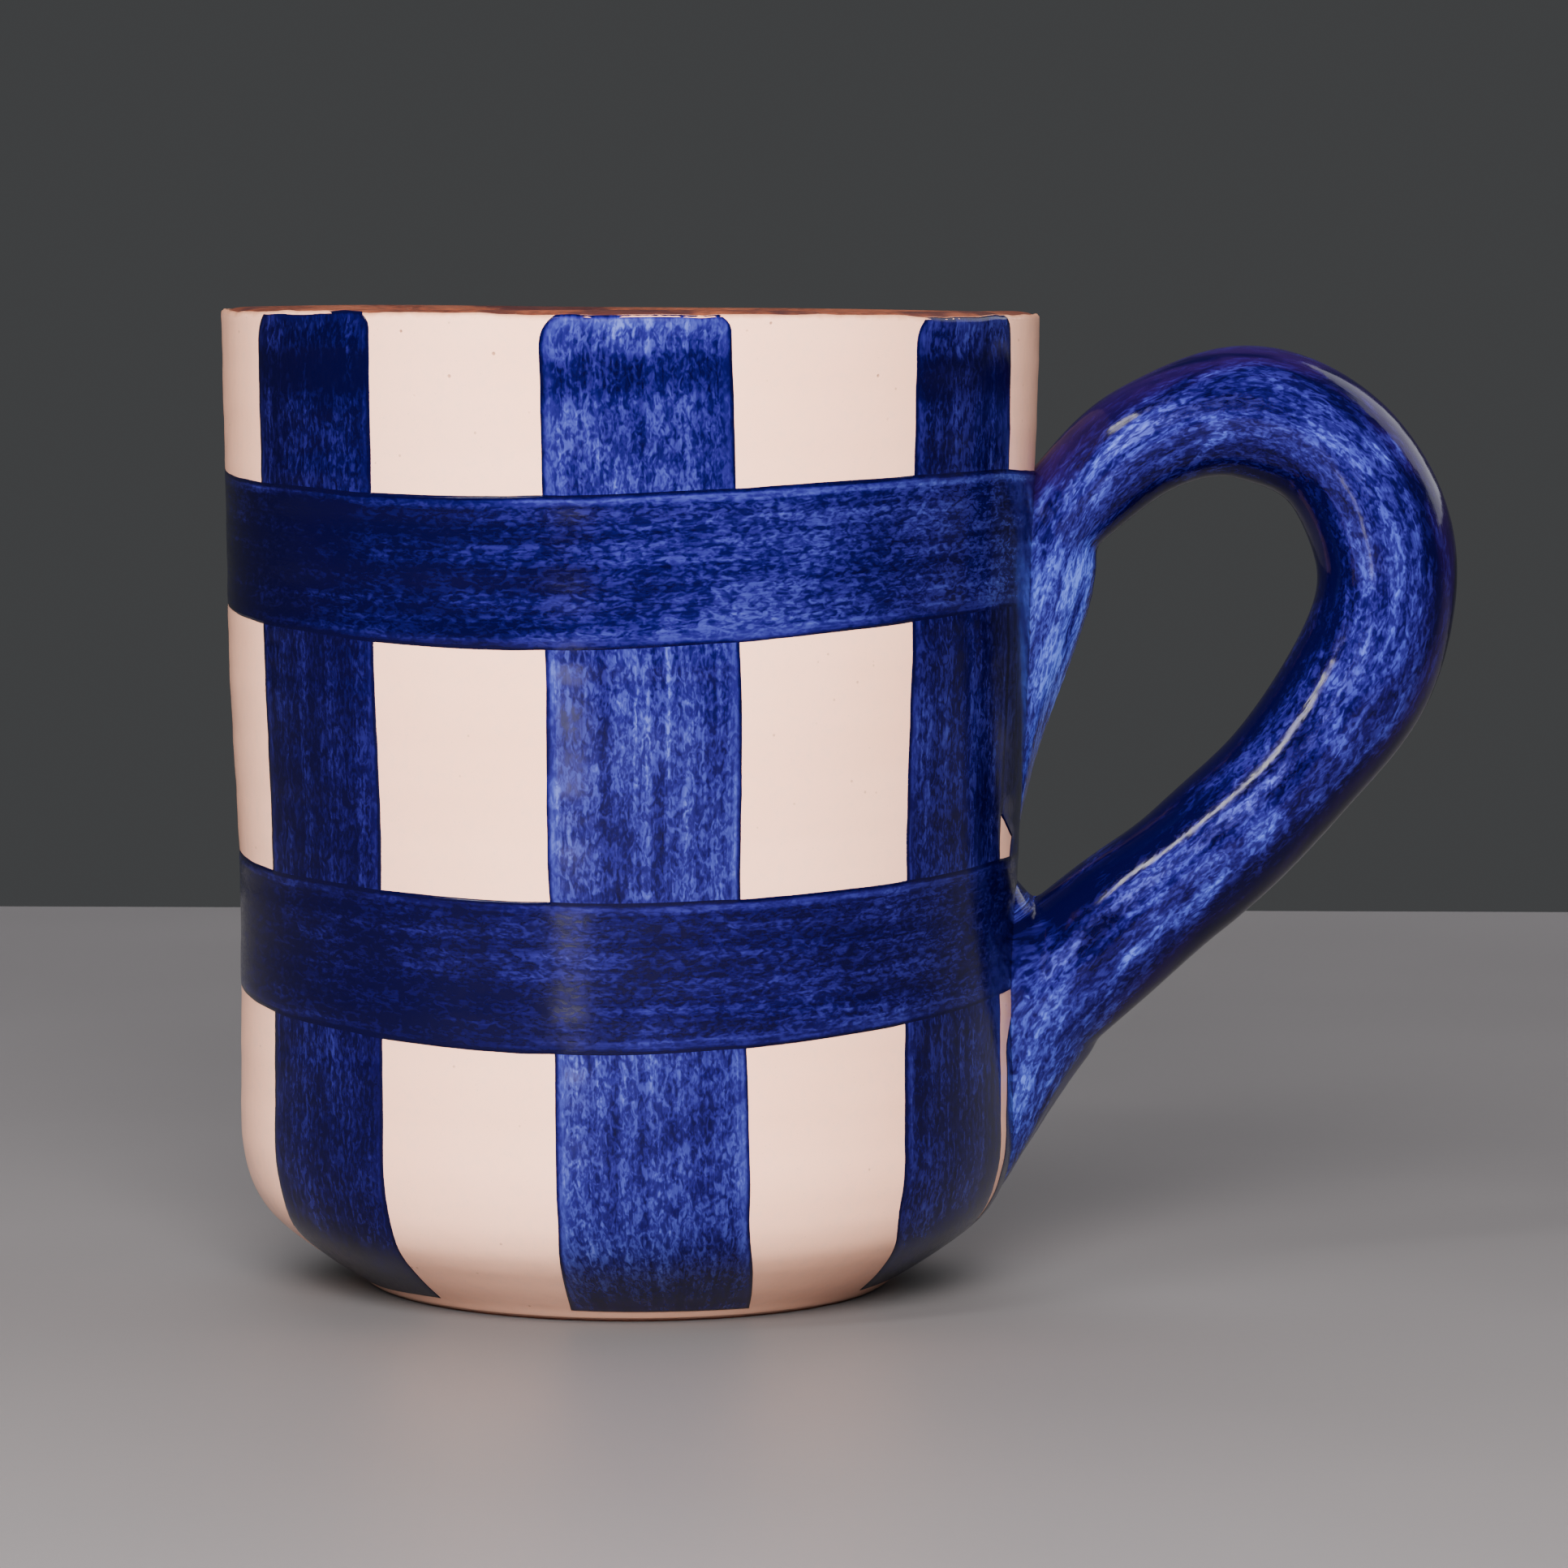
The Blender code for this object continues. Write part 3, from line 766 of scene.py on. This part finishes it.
def make_handle():
    """Coil and smeared ends fused into one skin, as the glaze makes them."""
    points = []
    faces = []
    for part, quads in (coil_solid(), tail_solid(UPPER_TAIL), tail_solid(LOWER_TAIL)):
        start = sum(len(p) for p in points)
        points.append(part)
        faces += [tuple(i + start for i in q) for q in quads]
    obj = new_object("glazed_handle", np.concatenate(points), faces)
    work = bmesh.new()
    work.from_mesh(obj.data)
    bmesh.ops.recalc_face_normals(work, faces=work.faces)
    work.to_mesh(obj.data)
    work.free()
    remesh = obj.modifiers.new("fuse", "REMESH")
    remesh.mode = "VOXEL"
    remesh.voxel_size = HANDLE_VOXEL * MM
    smooth = obj.modifiers.new("soften", "SMOOTH")
    smooth.factor = 0.5
    smooth.iterations = 7
    graph = bpy.context.evaluated_depsgraph_get()
    mesh = bpy.data.meshes.new_from_object(obj.evaluated_get(graph))
    obj.modifiers.clear()
    obj.data = mesh
    mesh.name = "glazed_handle"
    mesh.shade_smooth()

    places = points_of(mesh)
    path = catmull(BRUSH_PATH, np.linspace(0.0, 1.0, BRUSH_SAMPLES))
    step = np.hypot(np.diff(path[:, 0]), np.diff(path[:, 1]))
    length = np.concatenate([[0.0], np.cumsum(step)])
    tangent = np.gradient(path, axis=0)
    tangent /= np.linalg.norm(tangent, axis=1)[:, None]
    normal = np.stack([-tangent[:, 1], tangent[:, 0]], -1)
    flat = places[:, [0, 2]]
    blend = np.empty((len(flat), 5))
    carried = np.column_stack([length, path, normal])
    for start in range(0, len(flat), 4000):
        gap = ((flat[start : start + 4000, None, :] - path[None]) ** 2).sum(2)
        weight = np.exp((gap.min(1, keepdims=True) - gap) / (2.0 * BRUSH_BLEND**2))
        weight /= weight.sum(1, keepdims=True)
        blend[start : start + 4000] = weight @ carried
    run = blend[:, 0]
    away = blend[:, 3:5] / np.linalg.norm(blend[:, 3:5], axis=1)[:, None]
    off = ((flat - blend[:, 1:3]) * away).sum(1)
    around = np.arctan2(places[:, 1], off)
    close = smoothstep(53.0, 45.0, places[:, 0])
    upper = close * smoothstep(81.0, 72.0, places[:, 2]) * smoothstep(40.0, 46.0, places[:, 2])
    lower = close * smoothstep(34.0, 27.0, places[:, 2])
    smear = np.maximum(upper, 0.4 * lower)
    store(mesh, "brush", np.stack([around * HANDLE_ROUND, run, smear], -1))
    side = np.stack([np.cos(around), np.maximum(upper, lower), run / length[-1]], -1)
    store(mesh, "facing", side)
    return obj


# ---------------------------------------------------------------- materials


class Nodes:
    """Short names for building a material's node tree."""

    def __init__(self, name):
        self.material = bpy.data.materials.new(name)
        self.material.use_nodes = True
        self.tree = self.material.node_tree
        self.shader = self.tree.nodes["Principled BSDF"]
        self.count = 0

    def add(self, kind, **settings):
        node = self.tree.nodes.new(kind)
        node.location = (-220 - 180 * (self.count // 6), 300 - 170 * (self.count % 6))
        self.count += 1
        for key, value in settings.items():
            setattr(node, key, value)
        return node

    def put(self, socket, value):
        if isinstance(value, bpy.types.NodeSocket):
            self.tree.links.new(value, socket)
        elif value is not None:
            socket.default_value = value

    def attribute(self, name):
        node = self.add("ShaderNodeAttribute", attribute_name=name)
        return node.outputs["Vector"]

    def split(self, vector):
        node = self.add("ShaderNodeSeparateXYZ")
        self.put(node.inputs[0], vector)
        return node.outputs[0], node.outputs[1], node.outputs[2]

    def join(self, x, y, z):
        node = self.add("ShaderNodeCombineXYZ")
        for socket, value in zip(node.inputs, (x, y, z), strict=True):
            self.put(socket, value)
        return node.outputs[0]

    def place(self):
        """Object coordinates in millimetres."""
        coords = self.add("ShaderNodeTexCoord").outputs["Object"]
        return self.scaled(coords, 1000.0)

    def scaled(self, vector, amount):
        node = self.add("ShaderNodeVectorMath", operation="SCALE")
        self.put(node.inputs[0], vector)
        self.put(node.inputs["Scale"], amount)
        return node.outputs[0]

    def shift(self, vector, other):
        node = self.add("ShaderNodeVectorMath", operation="ADD")
        self.put(node.inputs[0], vector)
        self.put(node.inputs[1], other)
        return node.outputs[0]

    def math(self, operation, a, b=None):
        node = self.add("ShaderNodeMath", operation=operation)
        self.put(node.inputs[0], a)
        self.put(node.inputs[1], b)
        return node.outputs[0]

    def plus(self, a, b):
        return self.math("ADD", a, b)

    def minus(self, a, b):
        return self.math("SUBTRACT", a, b)

    def times(self, a, b):
        return self.math("MULTIPLY", a, b)

    def noise(self, vector, scale, detail=2.0, rough=0.5, distortion=0.0):
        node = self.add("ShaderNodeTexNoise")
        self.put(node.inputs["Vector"], vector)
        self.put(node.inputs["Scale"], scale)
        self.put(node.inputs["Detail"], detail)
        self.put(node.inputs["Roughness"], rough)
        self.put(node.inputs["Distortion"], distortion)
        return node.outputs["Fac"]

    def cells(self, vector, scale):
        node = self.add("ShaderNodeTexVoronoi", feature="F1")
        self.put(node.inputs["Vector"], vector)
        self.put(node.inputs["Scale"], scale)
        return node.outputs["Distance"]

    def ramp(self, value, low, high, start=0.0, end=1.0):
        """Smooth change from start to end as value goes from low to high."""
        node = self.add("ShaderNodeMapRange", interpolation_type="SMOOTHSTEP")
        self.put(node.inputs["Value"], value)
        self.put(node.inputs["From Min"], low)
        self.put(node.inputs["From Max"], high)
        self.put(node.inputs["To Min"], start)
        self.put(node.inputs["To Max"], end)
        return node.outputs["Result"]

    def mix(self, share, a, b):
        node = self.add("ShaderNodeMix", data_type="RGBA", blend_type="MIX")
        self.put(node.inputs[0], share)
        for socket, value in ((node.inputs[6], a), (node.inputs[7], b)):
            if isinstance(value, tuple):
                value = (*value, 1.0)
            self.put(socket, value)
        return node.outputs[2]

    def colours(self, value, stops):
        node = self.add("ShaderNodeValToRGB")
        self.put(node.inputs[0], value)
        band = node.color_ramp.elements
        while len(band) < len(stops):
            band.new(0.5)
        for element, (position, colour) in zip(band, stops, strict=True):
            element.position = position
            element.color = (*colour, 1.0)
        return node.outputs[0]

    def bump(self, height, distance, strength, under=None):
        node = self.add("ShaderNodeBump")
        self.put(node.inputs["Height"], height)
        node.inputs["Distance"].default_value = distance * MM
        node.inputs["Strength"].default_value = strength
        if under is not None:
            self.put(node.inputs["Normal"], under)
        return node.outputs[0]

    def surface(self, colour, roughness, normal):
        self.put(self.shader.inputs["Base Color"], colour)
        self.put(self.shader.inputs["Roughness"], roughness)
        self.put(self.shader.inputs["Normal"], normal)
        self.shader.inputs["Metallic"].default_value = 0.0
        self.shader.inputs["IOR"].default_value = GLAZE_IOR
        return self.material


GLAZE_IOR = 1.33
CREAM = (0.950, 0.510, 0.360)
CREAM_SHADE = (0.930, 0.480, 0.330)
LINING = (0.900, 0.620, 0.500)
LINING_SHADE = (0.870, 0.585, 0.460)
CLAY = (0.150, 0.036, 0.017)
CLAY_DARK = (0.050, 0.015, 0.011)
CLAY_WARM = (0.26, 0.075, 0.032)
CREAM_MOTTLE = (0.72, 0.46, 0.36)
CREAM_SPECK = (0.30, 0.16, 0.10)
CREAM_GRAIN = (0.42, 0.27, 0.19)
CREAM_THIN = (0.42, 0.17, 0.085)
PINHOLE = (0.22, 0.10, 0.06)
GROG = (0.50, 0.28, 0.17)
LIP_STAIN = (0.020, 0.008, 0.012)
FLOOR_DARK = (0.104, 0.096, 0.098)
FLOOR_PALE = (0.118, 0.109, 0.111)
HANDLE_VIOLET = (0.030, 0.008, 0.085)
INK = (0.0009, 0.0002, 0.016)
NAVY = (0.0024, 0.0008, 0.036)
COBALT = (0.0092, 0.0070, 0.086)
MID_BLUE = (0.025, 0.030, 0.178)
PALE_BLUE = (0.078, 0.104, 0.360)
HANDLE_STOPS = (
    (0.0, (0.0012, 0.0003, 0.018)),
    (0.25, (0.0040, 0.0014, 0.046)),
    (0.50, (0.0130, 0.0110, 0.112)),
    (0.75, (0.033, 0.044, 0.280)),
    (1.0, (0.080, 0.130, 0.560)),
)


def cream_material(name, with_rim):
    """Cream glaze with specks and pinholes; the outside one thins out at the lip."""
    n = Nodes(name)
    place = n.place()
    broad = n.noise(place, 0.035, 3.0, 0.55)
    fine = n.noise(place, 0.9, 3.0, 0.6)
    tones = (CREAM, CREAM_SHADE) if with_rim else (LINING, LINING_SHADE)
    colour = n.mix(n.ramp(broad, 0.35, 0.70), *tones)
    colour = n.mix(n.ramp(fine, 0.45, 0.75, 0.0, 0.22), colour, CREAM_MOTTLE)
    specks = n.cells(place, 0.55)
    pick = n.noise(place, 0.31, 1.0, 0.5)
    dot = n.times(n.ramp(specks, 0.10, 0.045), n.ramp(pick, 0.56, 0.60))
    colour = n.mix(n.times(dot, 0.55), colour, CREAM_SPECK)
    grains = n.cells(place, 1.9)
    sparse = n.ramp(grains, 0.16, 0.06)
    grain = n.times(sparse, n.ramp(n.noise(place, 0.8), 0.5, 0.6))
    colour = n.mix(n.times(grain, 0.28), colour, CREAM_GRAIN)
    holes = n.ramp(n.cells(place, 0.33), 0.075, 0.03)
    if with_rim:
        rim, _, _ = n.split(n.attribute("rim_distance"))
        near = n.ramp(rim, 14.0, 2.0)
        holes = n.times(holes, near)
        thin = n.ramp(n.plus(rim, n.times(fine, 0.5)), 0.85, 0.25)
        colour = n.mix(n.times(thin, 0.75), colour, CREAM_THIN)
    else:
        holes = n.times(holes, 0.4)
    colour = n.mix(n.times(holes, 0.8), colour, PINHOLE)
    peel = n.noise(place, 0.42, 2.0, 0.5)
    normal = n.bump(peel, 0.10, 0.35)
    normal = n.bump(holes, 0.12, 0.8, normal)
    normal.node.invert = True
    rough = n.ramp(n.noise(place, 0.12, 2.0), 0.3, 0.7, 0.17, 0.26)
    return n.surface(colour, rough, normal)


def paint_colour(n, tone):
    """Cobalt from nearly black to pale as the tone goes from 0 to 1."""
    stops = ((0.0, INK), (0.25, NAVY), (0.50, COBALT), (0.75, MID_BLUE), (1.0, PALE_BLUE))
    return n.colours(tone, stops)


def curdle(n, place, scale, depth):
    """Worm-like marks where the cobalt has crawled in the glaze, from -depth to +depth."""
    coarse = n.noise(place, scale, 1.5, 0.55, 1.3)
    fine = n.noise(n.shift(place, (31.0, 17.0, 5.0)), scale * 2.1, 1.5, 0.55, 0.9)
    blend = n.plus(n.times(coarse, 0.62), n.times(fine, 0.38))
    return n.ramp(blend, 0.36, 0.64, -depth, depth)


def brushed(n, across, along, edge, seed, contrast):
    """Tone of a brush stroke: bristle streaks along it, blotches and curdled lines."""
    long_run = n.join(across, n.times(along, 0.035), seed)
    streak = n.noise(long_run, 0.75, 4.0, 0.65)
    flat = n.join(across, along, seed)
    blotch = n.noise(flat, 0.10, 3.0, 0.55, 0.4)
    hair = n.noise(n.join(across, n.times(along, 0.02), seed), 2.6, 2.0, 0.6)
    tone = n.times(n.minus(streak, 0.5), 0.85 * contrast)
    tone = n.plus(tone, n.times(n.minus(hair, 0.5), 0.35))
    tone = n.plus(tone, n.times(n.minus(blotch, 0.5), 0.70))
    calm = n.ramp(edge, 0.3, 1.8, 0.45, 1.0)
    grit = curdle(n, n.join(across, n.times(along, 0.45), seed), 1.45, 0.5)
    tone = n.plus(tone, n.times(n.times(grit, calm), 0.42))
    rim_line = n.ramp(edge, 0.12, 0.42, -0.34, 0.0)
    inner = n.times(n.ramp(edge, 0.3, 0.6), n.ramp(edge, 1.7, 0.9))
    tone = n.plus(tone, rim_line)
    grit = n.plus(grit, 0.5)
    return n.plus(tone, n.times(inner, 0.10)), streak, grit


def paint_normal(n, streak, grit, place):
    """Slight relief of the bristle marks over the glaze's soft unevenness."""
    height = n.plus(n.times(streak, 0.7), n.times(grit, 0.3))
    normal = n.bump(height, 0.025, 0.3)
    return n.bump(n.noise(place, 0.42, 2.0, 0.5), 0.06, 0.3, normal)


def upright_material():
    n = Nodes("brushed_cobalt_uprights")
    across, along, edge = n.split(n.attribute("upright"))
    outline, ident, z = n.split(n.attribute("outline"))
    nearest = n.math("MINIMUM", edge, n.plus(outline, 0.05))
    seed = n.times(ident, 13.7)
    tone, streak, grit = brushed(n, across, along, nearest, seed, 1.0)
    wobble = n.minus(n.noise(n.join(across, 0.0, seed), 0.35), 0.5)
    high = n.plus(z, n.times(wobble, 3.5))
    band = n.times(n.ramp(high, 90.6, 93.0), n.ramp(high, 96.4, 95.0))
    tone = n.plus(tone, n.times(band, -0.24))
    tone = n.plus(tone, n.ramp(high, 96.2, 98.0, 0.0, 0.08))
    pool = n.ramp(z, 5.2, 2.6, 0.0, -0.14)
    tone = n.plus(tone, pool)
    from_front = n.math("ABSOLUTE", n.minus(ident, 2.0))
    from_left = n.math("ABSOLUTE", n.minus(ident, 1.0))
    tone = n.plus(tone, n.ramp(from_front, 0.2, 0.8, 0.48, 0.26))
    tone = n.plus(tone, n.ramp(from_left, 0.2, 0.8, -0.12, 0.0))
    colour = paint_colour(n, tone)
    rough = n.ramp(grit, 0.3, 0.7, 0.15, 0.22)
    place = n.place()
    return n.surface(colour, rough, paint_normal(n, streak, grit, place))


def level_material():
    n = Nodes("brushed_cobalt_bands")
    along, across, edge = n.split(n.attribute("level"))
    _, _, z = n.split(n.attribute("outline"))
    upper = n.ramp(z, BETWEEN_BANDS - 2.0, BETWEEN_BANDS + 2.0)
    seed = n.times(upper, 41.0)
    tone, streak, grit = brushed(n, across, along, edge, seed, 1.15)
    ragged = n.noise(n.join(along, across, 3.0), 0.16)
    reach = n.plus(along, n.times(ragged, 16.0))
    load = n.ramp(reach, -24.0, 18.0, -0.31, 0.10)
    load = n.plus(load, n.ramp(reach, 50.0, 160.0, 0.0, -0.41))
    share = n.ramp(upper, 0.0, 1.0, 0.45, 1.0)
    tone = n.plus(tone, n.times(load, share))
    lower = n.minus(1.0, upper)
    tone = n.plus(tone, n.times(lower, -0.11))
    start = n.times(n.ramp(along, 14.6, 15.0), n.ramp(along, 30.5, 29.6))
    start = n.times(start, n.times(lower, n.ramp(across, -3.4, -4.2)))
    tone = n.plus(tone, n.times(start, 0.10))
    # Painted highlight: a lighter line just inside the upper edge of each band.
    top_edge_highlight = n.times(n.ramp(edge, 0.35, 0.55), n.ramp(edge, 1.3, 0.9))
    top_edge_highlight = n.times(top_edge_highlight, n.ramp(across, 3.0, 5.0))
    tone = n.plus(tone, n.times(top_edge_highlight, 0.16))
    tone = n.plus(tone, 0.26)
    colour = paint_colour(n, tone)
    rough = n.ramp(grit, 0.3, 0.7, 0.15, 0.22)
    place = n.place()
    return n.surface(colour, rough, paint_normal(n, streak, grit, place))


def handle_material():
    n = Nodes("cobalt_handle_glaze")
    around, along, smear = n.split(n.attribute("brush"))
    outer, on_wall, share = n.split(n.attribute("facing"))
    place = n.place()
    run = n.times(along, 0.10)
    thin = n.noise(n.join(around, run, 5.0), 0.60, 4.0, 0.62, 0.5)
    cloud = n.noise(n.join(around, n.times(along, 0.42), 9.0), 0.125, 3.0, 0.6, 1.2)
    grit = curdle(n, n.join(around, n.times(along, 0.40), 2.0), 1.55, 0.5)
    tone = n.times(n.minus(thin, 0.5), 1.30)
    pale = n.ramp(cloud, 0.42, 0.68, -0.17, 0.22)
    tone = n.plus(tone, pale)
    tone = n.plus(tone, n.times(grit, 0.40))
    # Painted shade: the coil is made lighter along its front and back faces and darker towards
    # its inner and outer edges, less so on the smeared ends.
    round_back = n.minus(1.0, n.times(on_wall, 0.75))
    coil_edge_shade = n.times(n.math("ABSOLUTE", outer), round_back)
    tone = n.plus(tone, n.ramp(coil_edge_shade, 0.25, 0.95, 0.11, -0.36))
    tone = n.plus(tone, n.times(smear, 0.22))
    lower_arm = n.times(n.ramp(share, 0.54, 0.62), n.ramp(share, 0.86, 0.78))
    tone = n.plus(tone, n.times(lower_arm, -0.17))
    tone = n.plus(tone, 0.41)
    colour = n.colours(tone, HANDLE_STOPS)
    violet = n.times(n.ramp(outer, 0.5, 1.0), n.ramp(cloud, 0.40, 0.55))
    colour = n.mix(n.times(violet, 0.35), colour, HANDLE_VIOLET)
    rough = n.ramp(grit, -0.3, 0.3, 0.10, 0.16)
    normal = n.bump(thin, 0.08, 0.4)
    normal = n.bump(n.noise(place, 0.30, 2.0, 0.5), 0.16, 0.45, normal)
    return n.surface(colour, rough, normal)


def clay_material():
    n = Nodes("fired_terracotta")
    place = n.place()
    fine = n.noise(place, 1.3, 4.0, 0.7)
    broad = n.noise(place, 0.06, 3.0, 0.5)
    colour = n.mix(n.ramp(fine, 0.35, 0.7), CLAY_DARK, CLAY)
    colour = n.mix(n.ramp(broad, 0.4, 0.65, 0.0, 0.4), colour, CLAY_WARM)
    grog = n.ramp(n.cells(place, 1.1), 0.13, 0.05)
    colour = n.mix(n.times(grog, 0.2), colour, GROG)
    _, _, z = n.split(place)
    stain = n.ramp(n.noise(place, 0.085, 3.0, 0.6), 0.50, 0.60)
    stain = n.times(stain, n.ramp(z, 98.0, 99.0))
    colour = n.mix(n.times(stain, 0.75), colour, LIP_STAIN)
    normal = n.bump(fine, 0.12, 0.6)
    rough = n.ramp(fine, 0.3, 0.7, 0.48, 0.66)
    return n.surface(colour, rough, normal)


def floor_material():
    n = Nodes("pale_floor")
    place = n.place()
    colour = n.mix(n.ramp(n.noise(place, 0.006, 3.0), 0.3, 0.7), FLOOR_DARK, FLOOR_PALE)
    normal = n.bump(n.noise(place, 0.5, 2.0), 0.05, 0.2)
    return n.surface(colour, 0.55, normal)


# ---------------------------------------------------------------- dress the frame


def dress(piece, slot, materials, *nodes):
    for material in materials:
        piece.data.materials.append(material)
    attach(piece, "root")
    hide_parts(*nodes)


uprights = upright_material()
bands = level_material()
check = make_check()
dress(check, "cobalt_paint", (uprights, bands), "painted_check")
cream = make_cream()
dress(cream, "cream_glaze", (cream_material("cream_slip_glaze", True),), "outer_glaze")
lining = make_lining()
dress(lining, "lining_glaze", (cream_material("cream_lining_glaze", False),), "inner_glaze")
clay = make_clay()
dress(clay, "terracotta_clay", (clay_material(),), "clay_body")
handle = make_handle()
dress(
    handle,
    "handle_glaze",
    (handle_material(),),
    "handle",
    "handle_glaze",
    "handle_upper_joint",
    "handle_lower_joint",
)


# ---------------------------------------------------------------- stage, camera, lights


# The floor ends a little behind the mug, where the photo's table ends
FLOOR_WIDE = 3000.0
FLOOR_BACK = 360.0
CAMERA_DISTANCE = 0.6036
CAMERA_HEIGHT = 0.1026
CAMERA_YAW = 1.504
CAMERA_PITCH = 4.858
CAMERA_ROLL = 0.370
CAMERA_LENS = 135.3
LIGHT_TARGET = (0.01, 0.0, 0.05)
WARM = (1.0, 0.975, 0.95)
COOL = (0.95, 0.97, 1.0)
WINDOW_LIGHT = (0.97, 0.95, 1.0)
# Lights: azimuth, elevation, distance, width, height, level, colour, and whether the glaze
# shows a reflection of it
LIGHTS = {
    "key": (-45.0, 36.0, 1.35, 0.75, 0.13, 0.55, WARM, True),
    "fill": (-4.0, 22.0, 0.42, 0.22, 0.18, 3.7, WARM, False),
    "window": (-17.5, -6.5, 0.34, 0.045, 0.024, 0.024, WINDOW_LIGHT, True),
    "back": (180.0, 38.0, 2.00, 1.8, 1.5, 1.2, COOL, False),
    "side": (122.0, 30.0, 2.00, 1.4, 1.4, 0.30, COOL, True),
    "overhead": (0.0, 90.0, 3.00, 5.0, 5.0, 0.45, COOL, False),
}
# Turn of the key panel about its own aim, which lays its highlight along the lower arm
KEY_TWIST = 60.0
WORLD_COLOUR = (0.94, 0.97, 1.0, 1.0)
WORLD_STRENGTH = 0.06


def make_floor():
    wide, back = FLOOR_WIDE, FLOOR_BACK
    obj = new_object(
        "floor",
        [(-wide, -wide, 0.0), (wide, -wide, 0.0), (wide, back, 0.0), (-wide, back, 0.0)],
        [(0, 1, 2, 3)],
        smooth=False,
    )
    obj.data.materials.append(floor_material())


def aim(obj, target):
    look = Vector(target) - obj.location
    obj.rotation_euler = look.to_track_quat("-Z", "Y").to_euler()


def softbox(name, azimuth, elevation, distance, width, height, level, colour):
    """Soft panel aimed at the mug; level is how bright it makes a white wall that faces it."""
    turn, rise = math.radians(azimuth), math.radians(elevation)
    data = bpy.data.lights.new(name, "AREA")
    data.shape = "RECTANGLE"
    data.size = width
    data.size_y = height
    data.energy = level * math.pi**2 * distance**2
    data.color = colour
    obj = bpy.data.objects.new(name, data)
    middle = Vector(LIGHT_TARGET)
    out = Vector(
        (math.sin(turn) * math.cos(rise), -math.cos(turn) * math.cos(rise), math.sin(rise))
    )
    obj.location = middle + out * distance
    bpy.context.scene.collection.objects.link(obj)
    aim(obj, middle)
    return obj


def make_camera():
    """Camera fitted to the photo's rim, sides and base; yaw, pitch and roll in degrees."""
    yaw, pitch, roll = (math.radians(a) for a in (CAMERA_YAW, CAMERA_PITCH, CAMERA_ROLL))
    forward = Vector(
        (math.sin(yaw) * math.cos(pitch), math.cos(yaw) * math.cos(pitch), -math.sin(pitch))
    )
    right = Vector((math.cos(yaw), -math.sin(yaw), 0.0))
    up = right.cross(forward)
    tilted_right = right * math.cos(roll) + up * math.sin(roll)
    tilted_up = up * math.cos(roll) - right * math.sin(roll)
    turn = Matrix((tilted_right, tilted_up, -forward)).transposed()
    data = bpy.data.cameras.new("camera")
    data.sensor_width = 36.0
    data.lens = CAMERA_LENS
    data.clip_start = 0.01
    obj = bpy.data.objects.new("camera", data)
    obj.matrix_world = Matrix.Translation((0.0, -CAMERA_DISTANCE, CAMERA_HEIGHT)) @ turn.to_4x4()
    bpy.context.scene.collection.objects.link(obj)
    bpy.context.scene.camera = obj


def make_lights():
    for name, (*place, in_glaze) in LIGHTS.items():
        light = softbox(name, *place)
        light.visible_glossy = in_glaze
        if name == "key":
            light.rotation_euler.rotate_axis("Z", math.radians(KEY_TWIST))
    world = bpy.data.worlds.new("studio")
    world.use_nodes = True
    shade = world.node_tree.nodes["Background"]
    shade.inputs["Color"].default_value = WORLD_COLOUR
    shade.inputs["Strength"].default_value = WORLD_STRENGTH
    bpy.context.scene.world = world


make_floor()
make_camera()
make_lights()
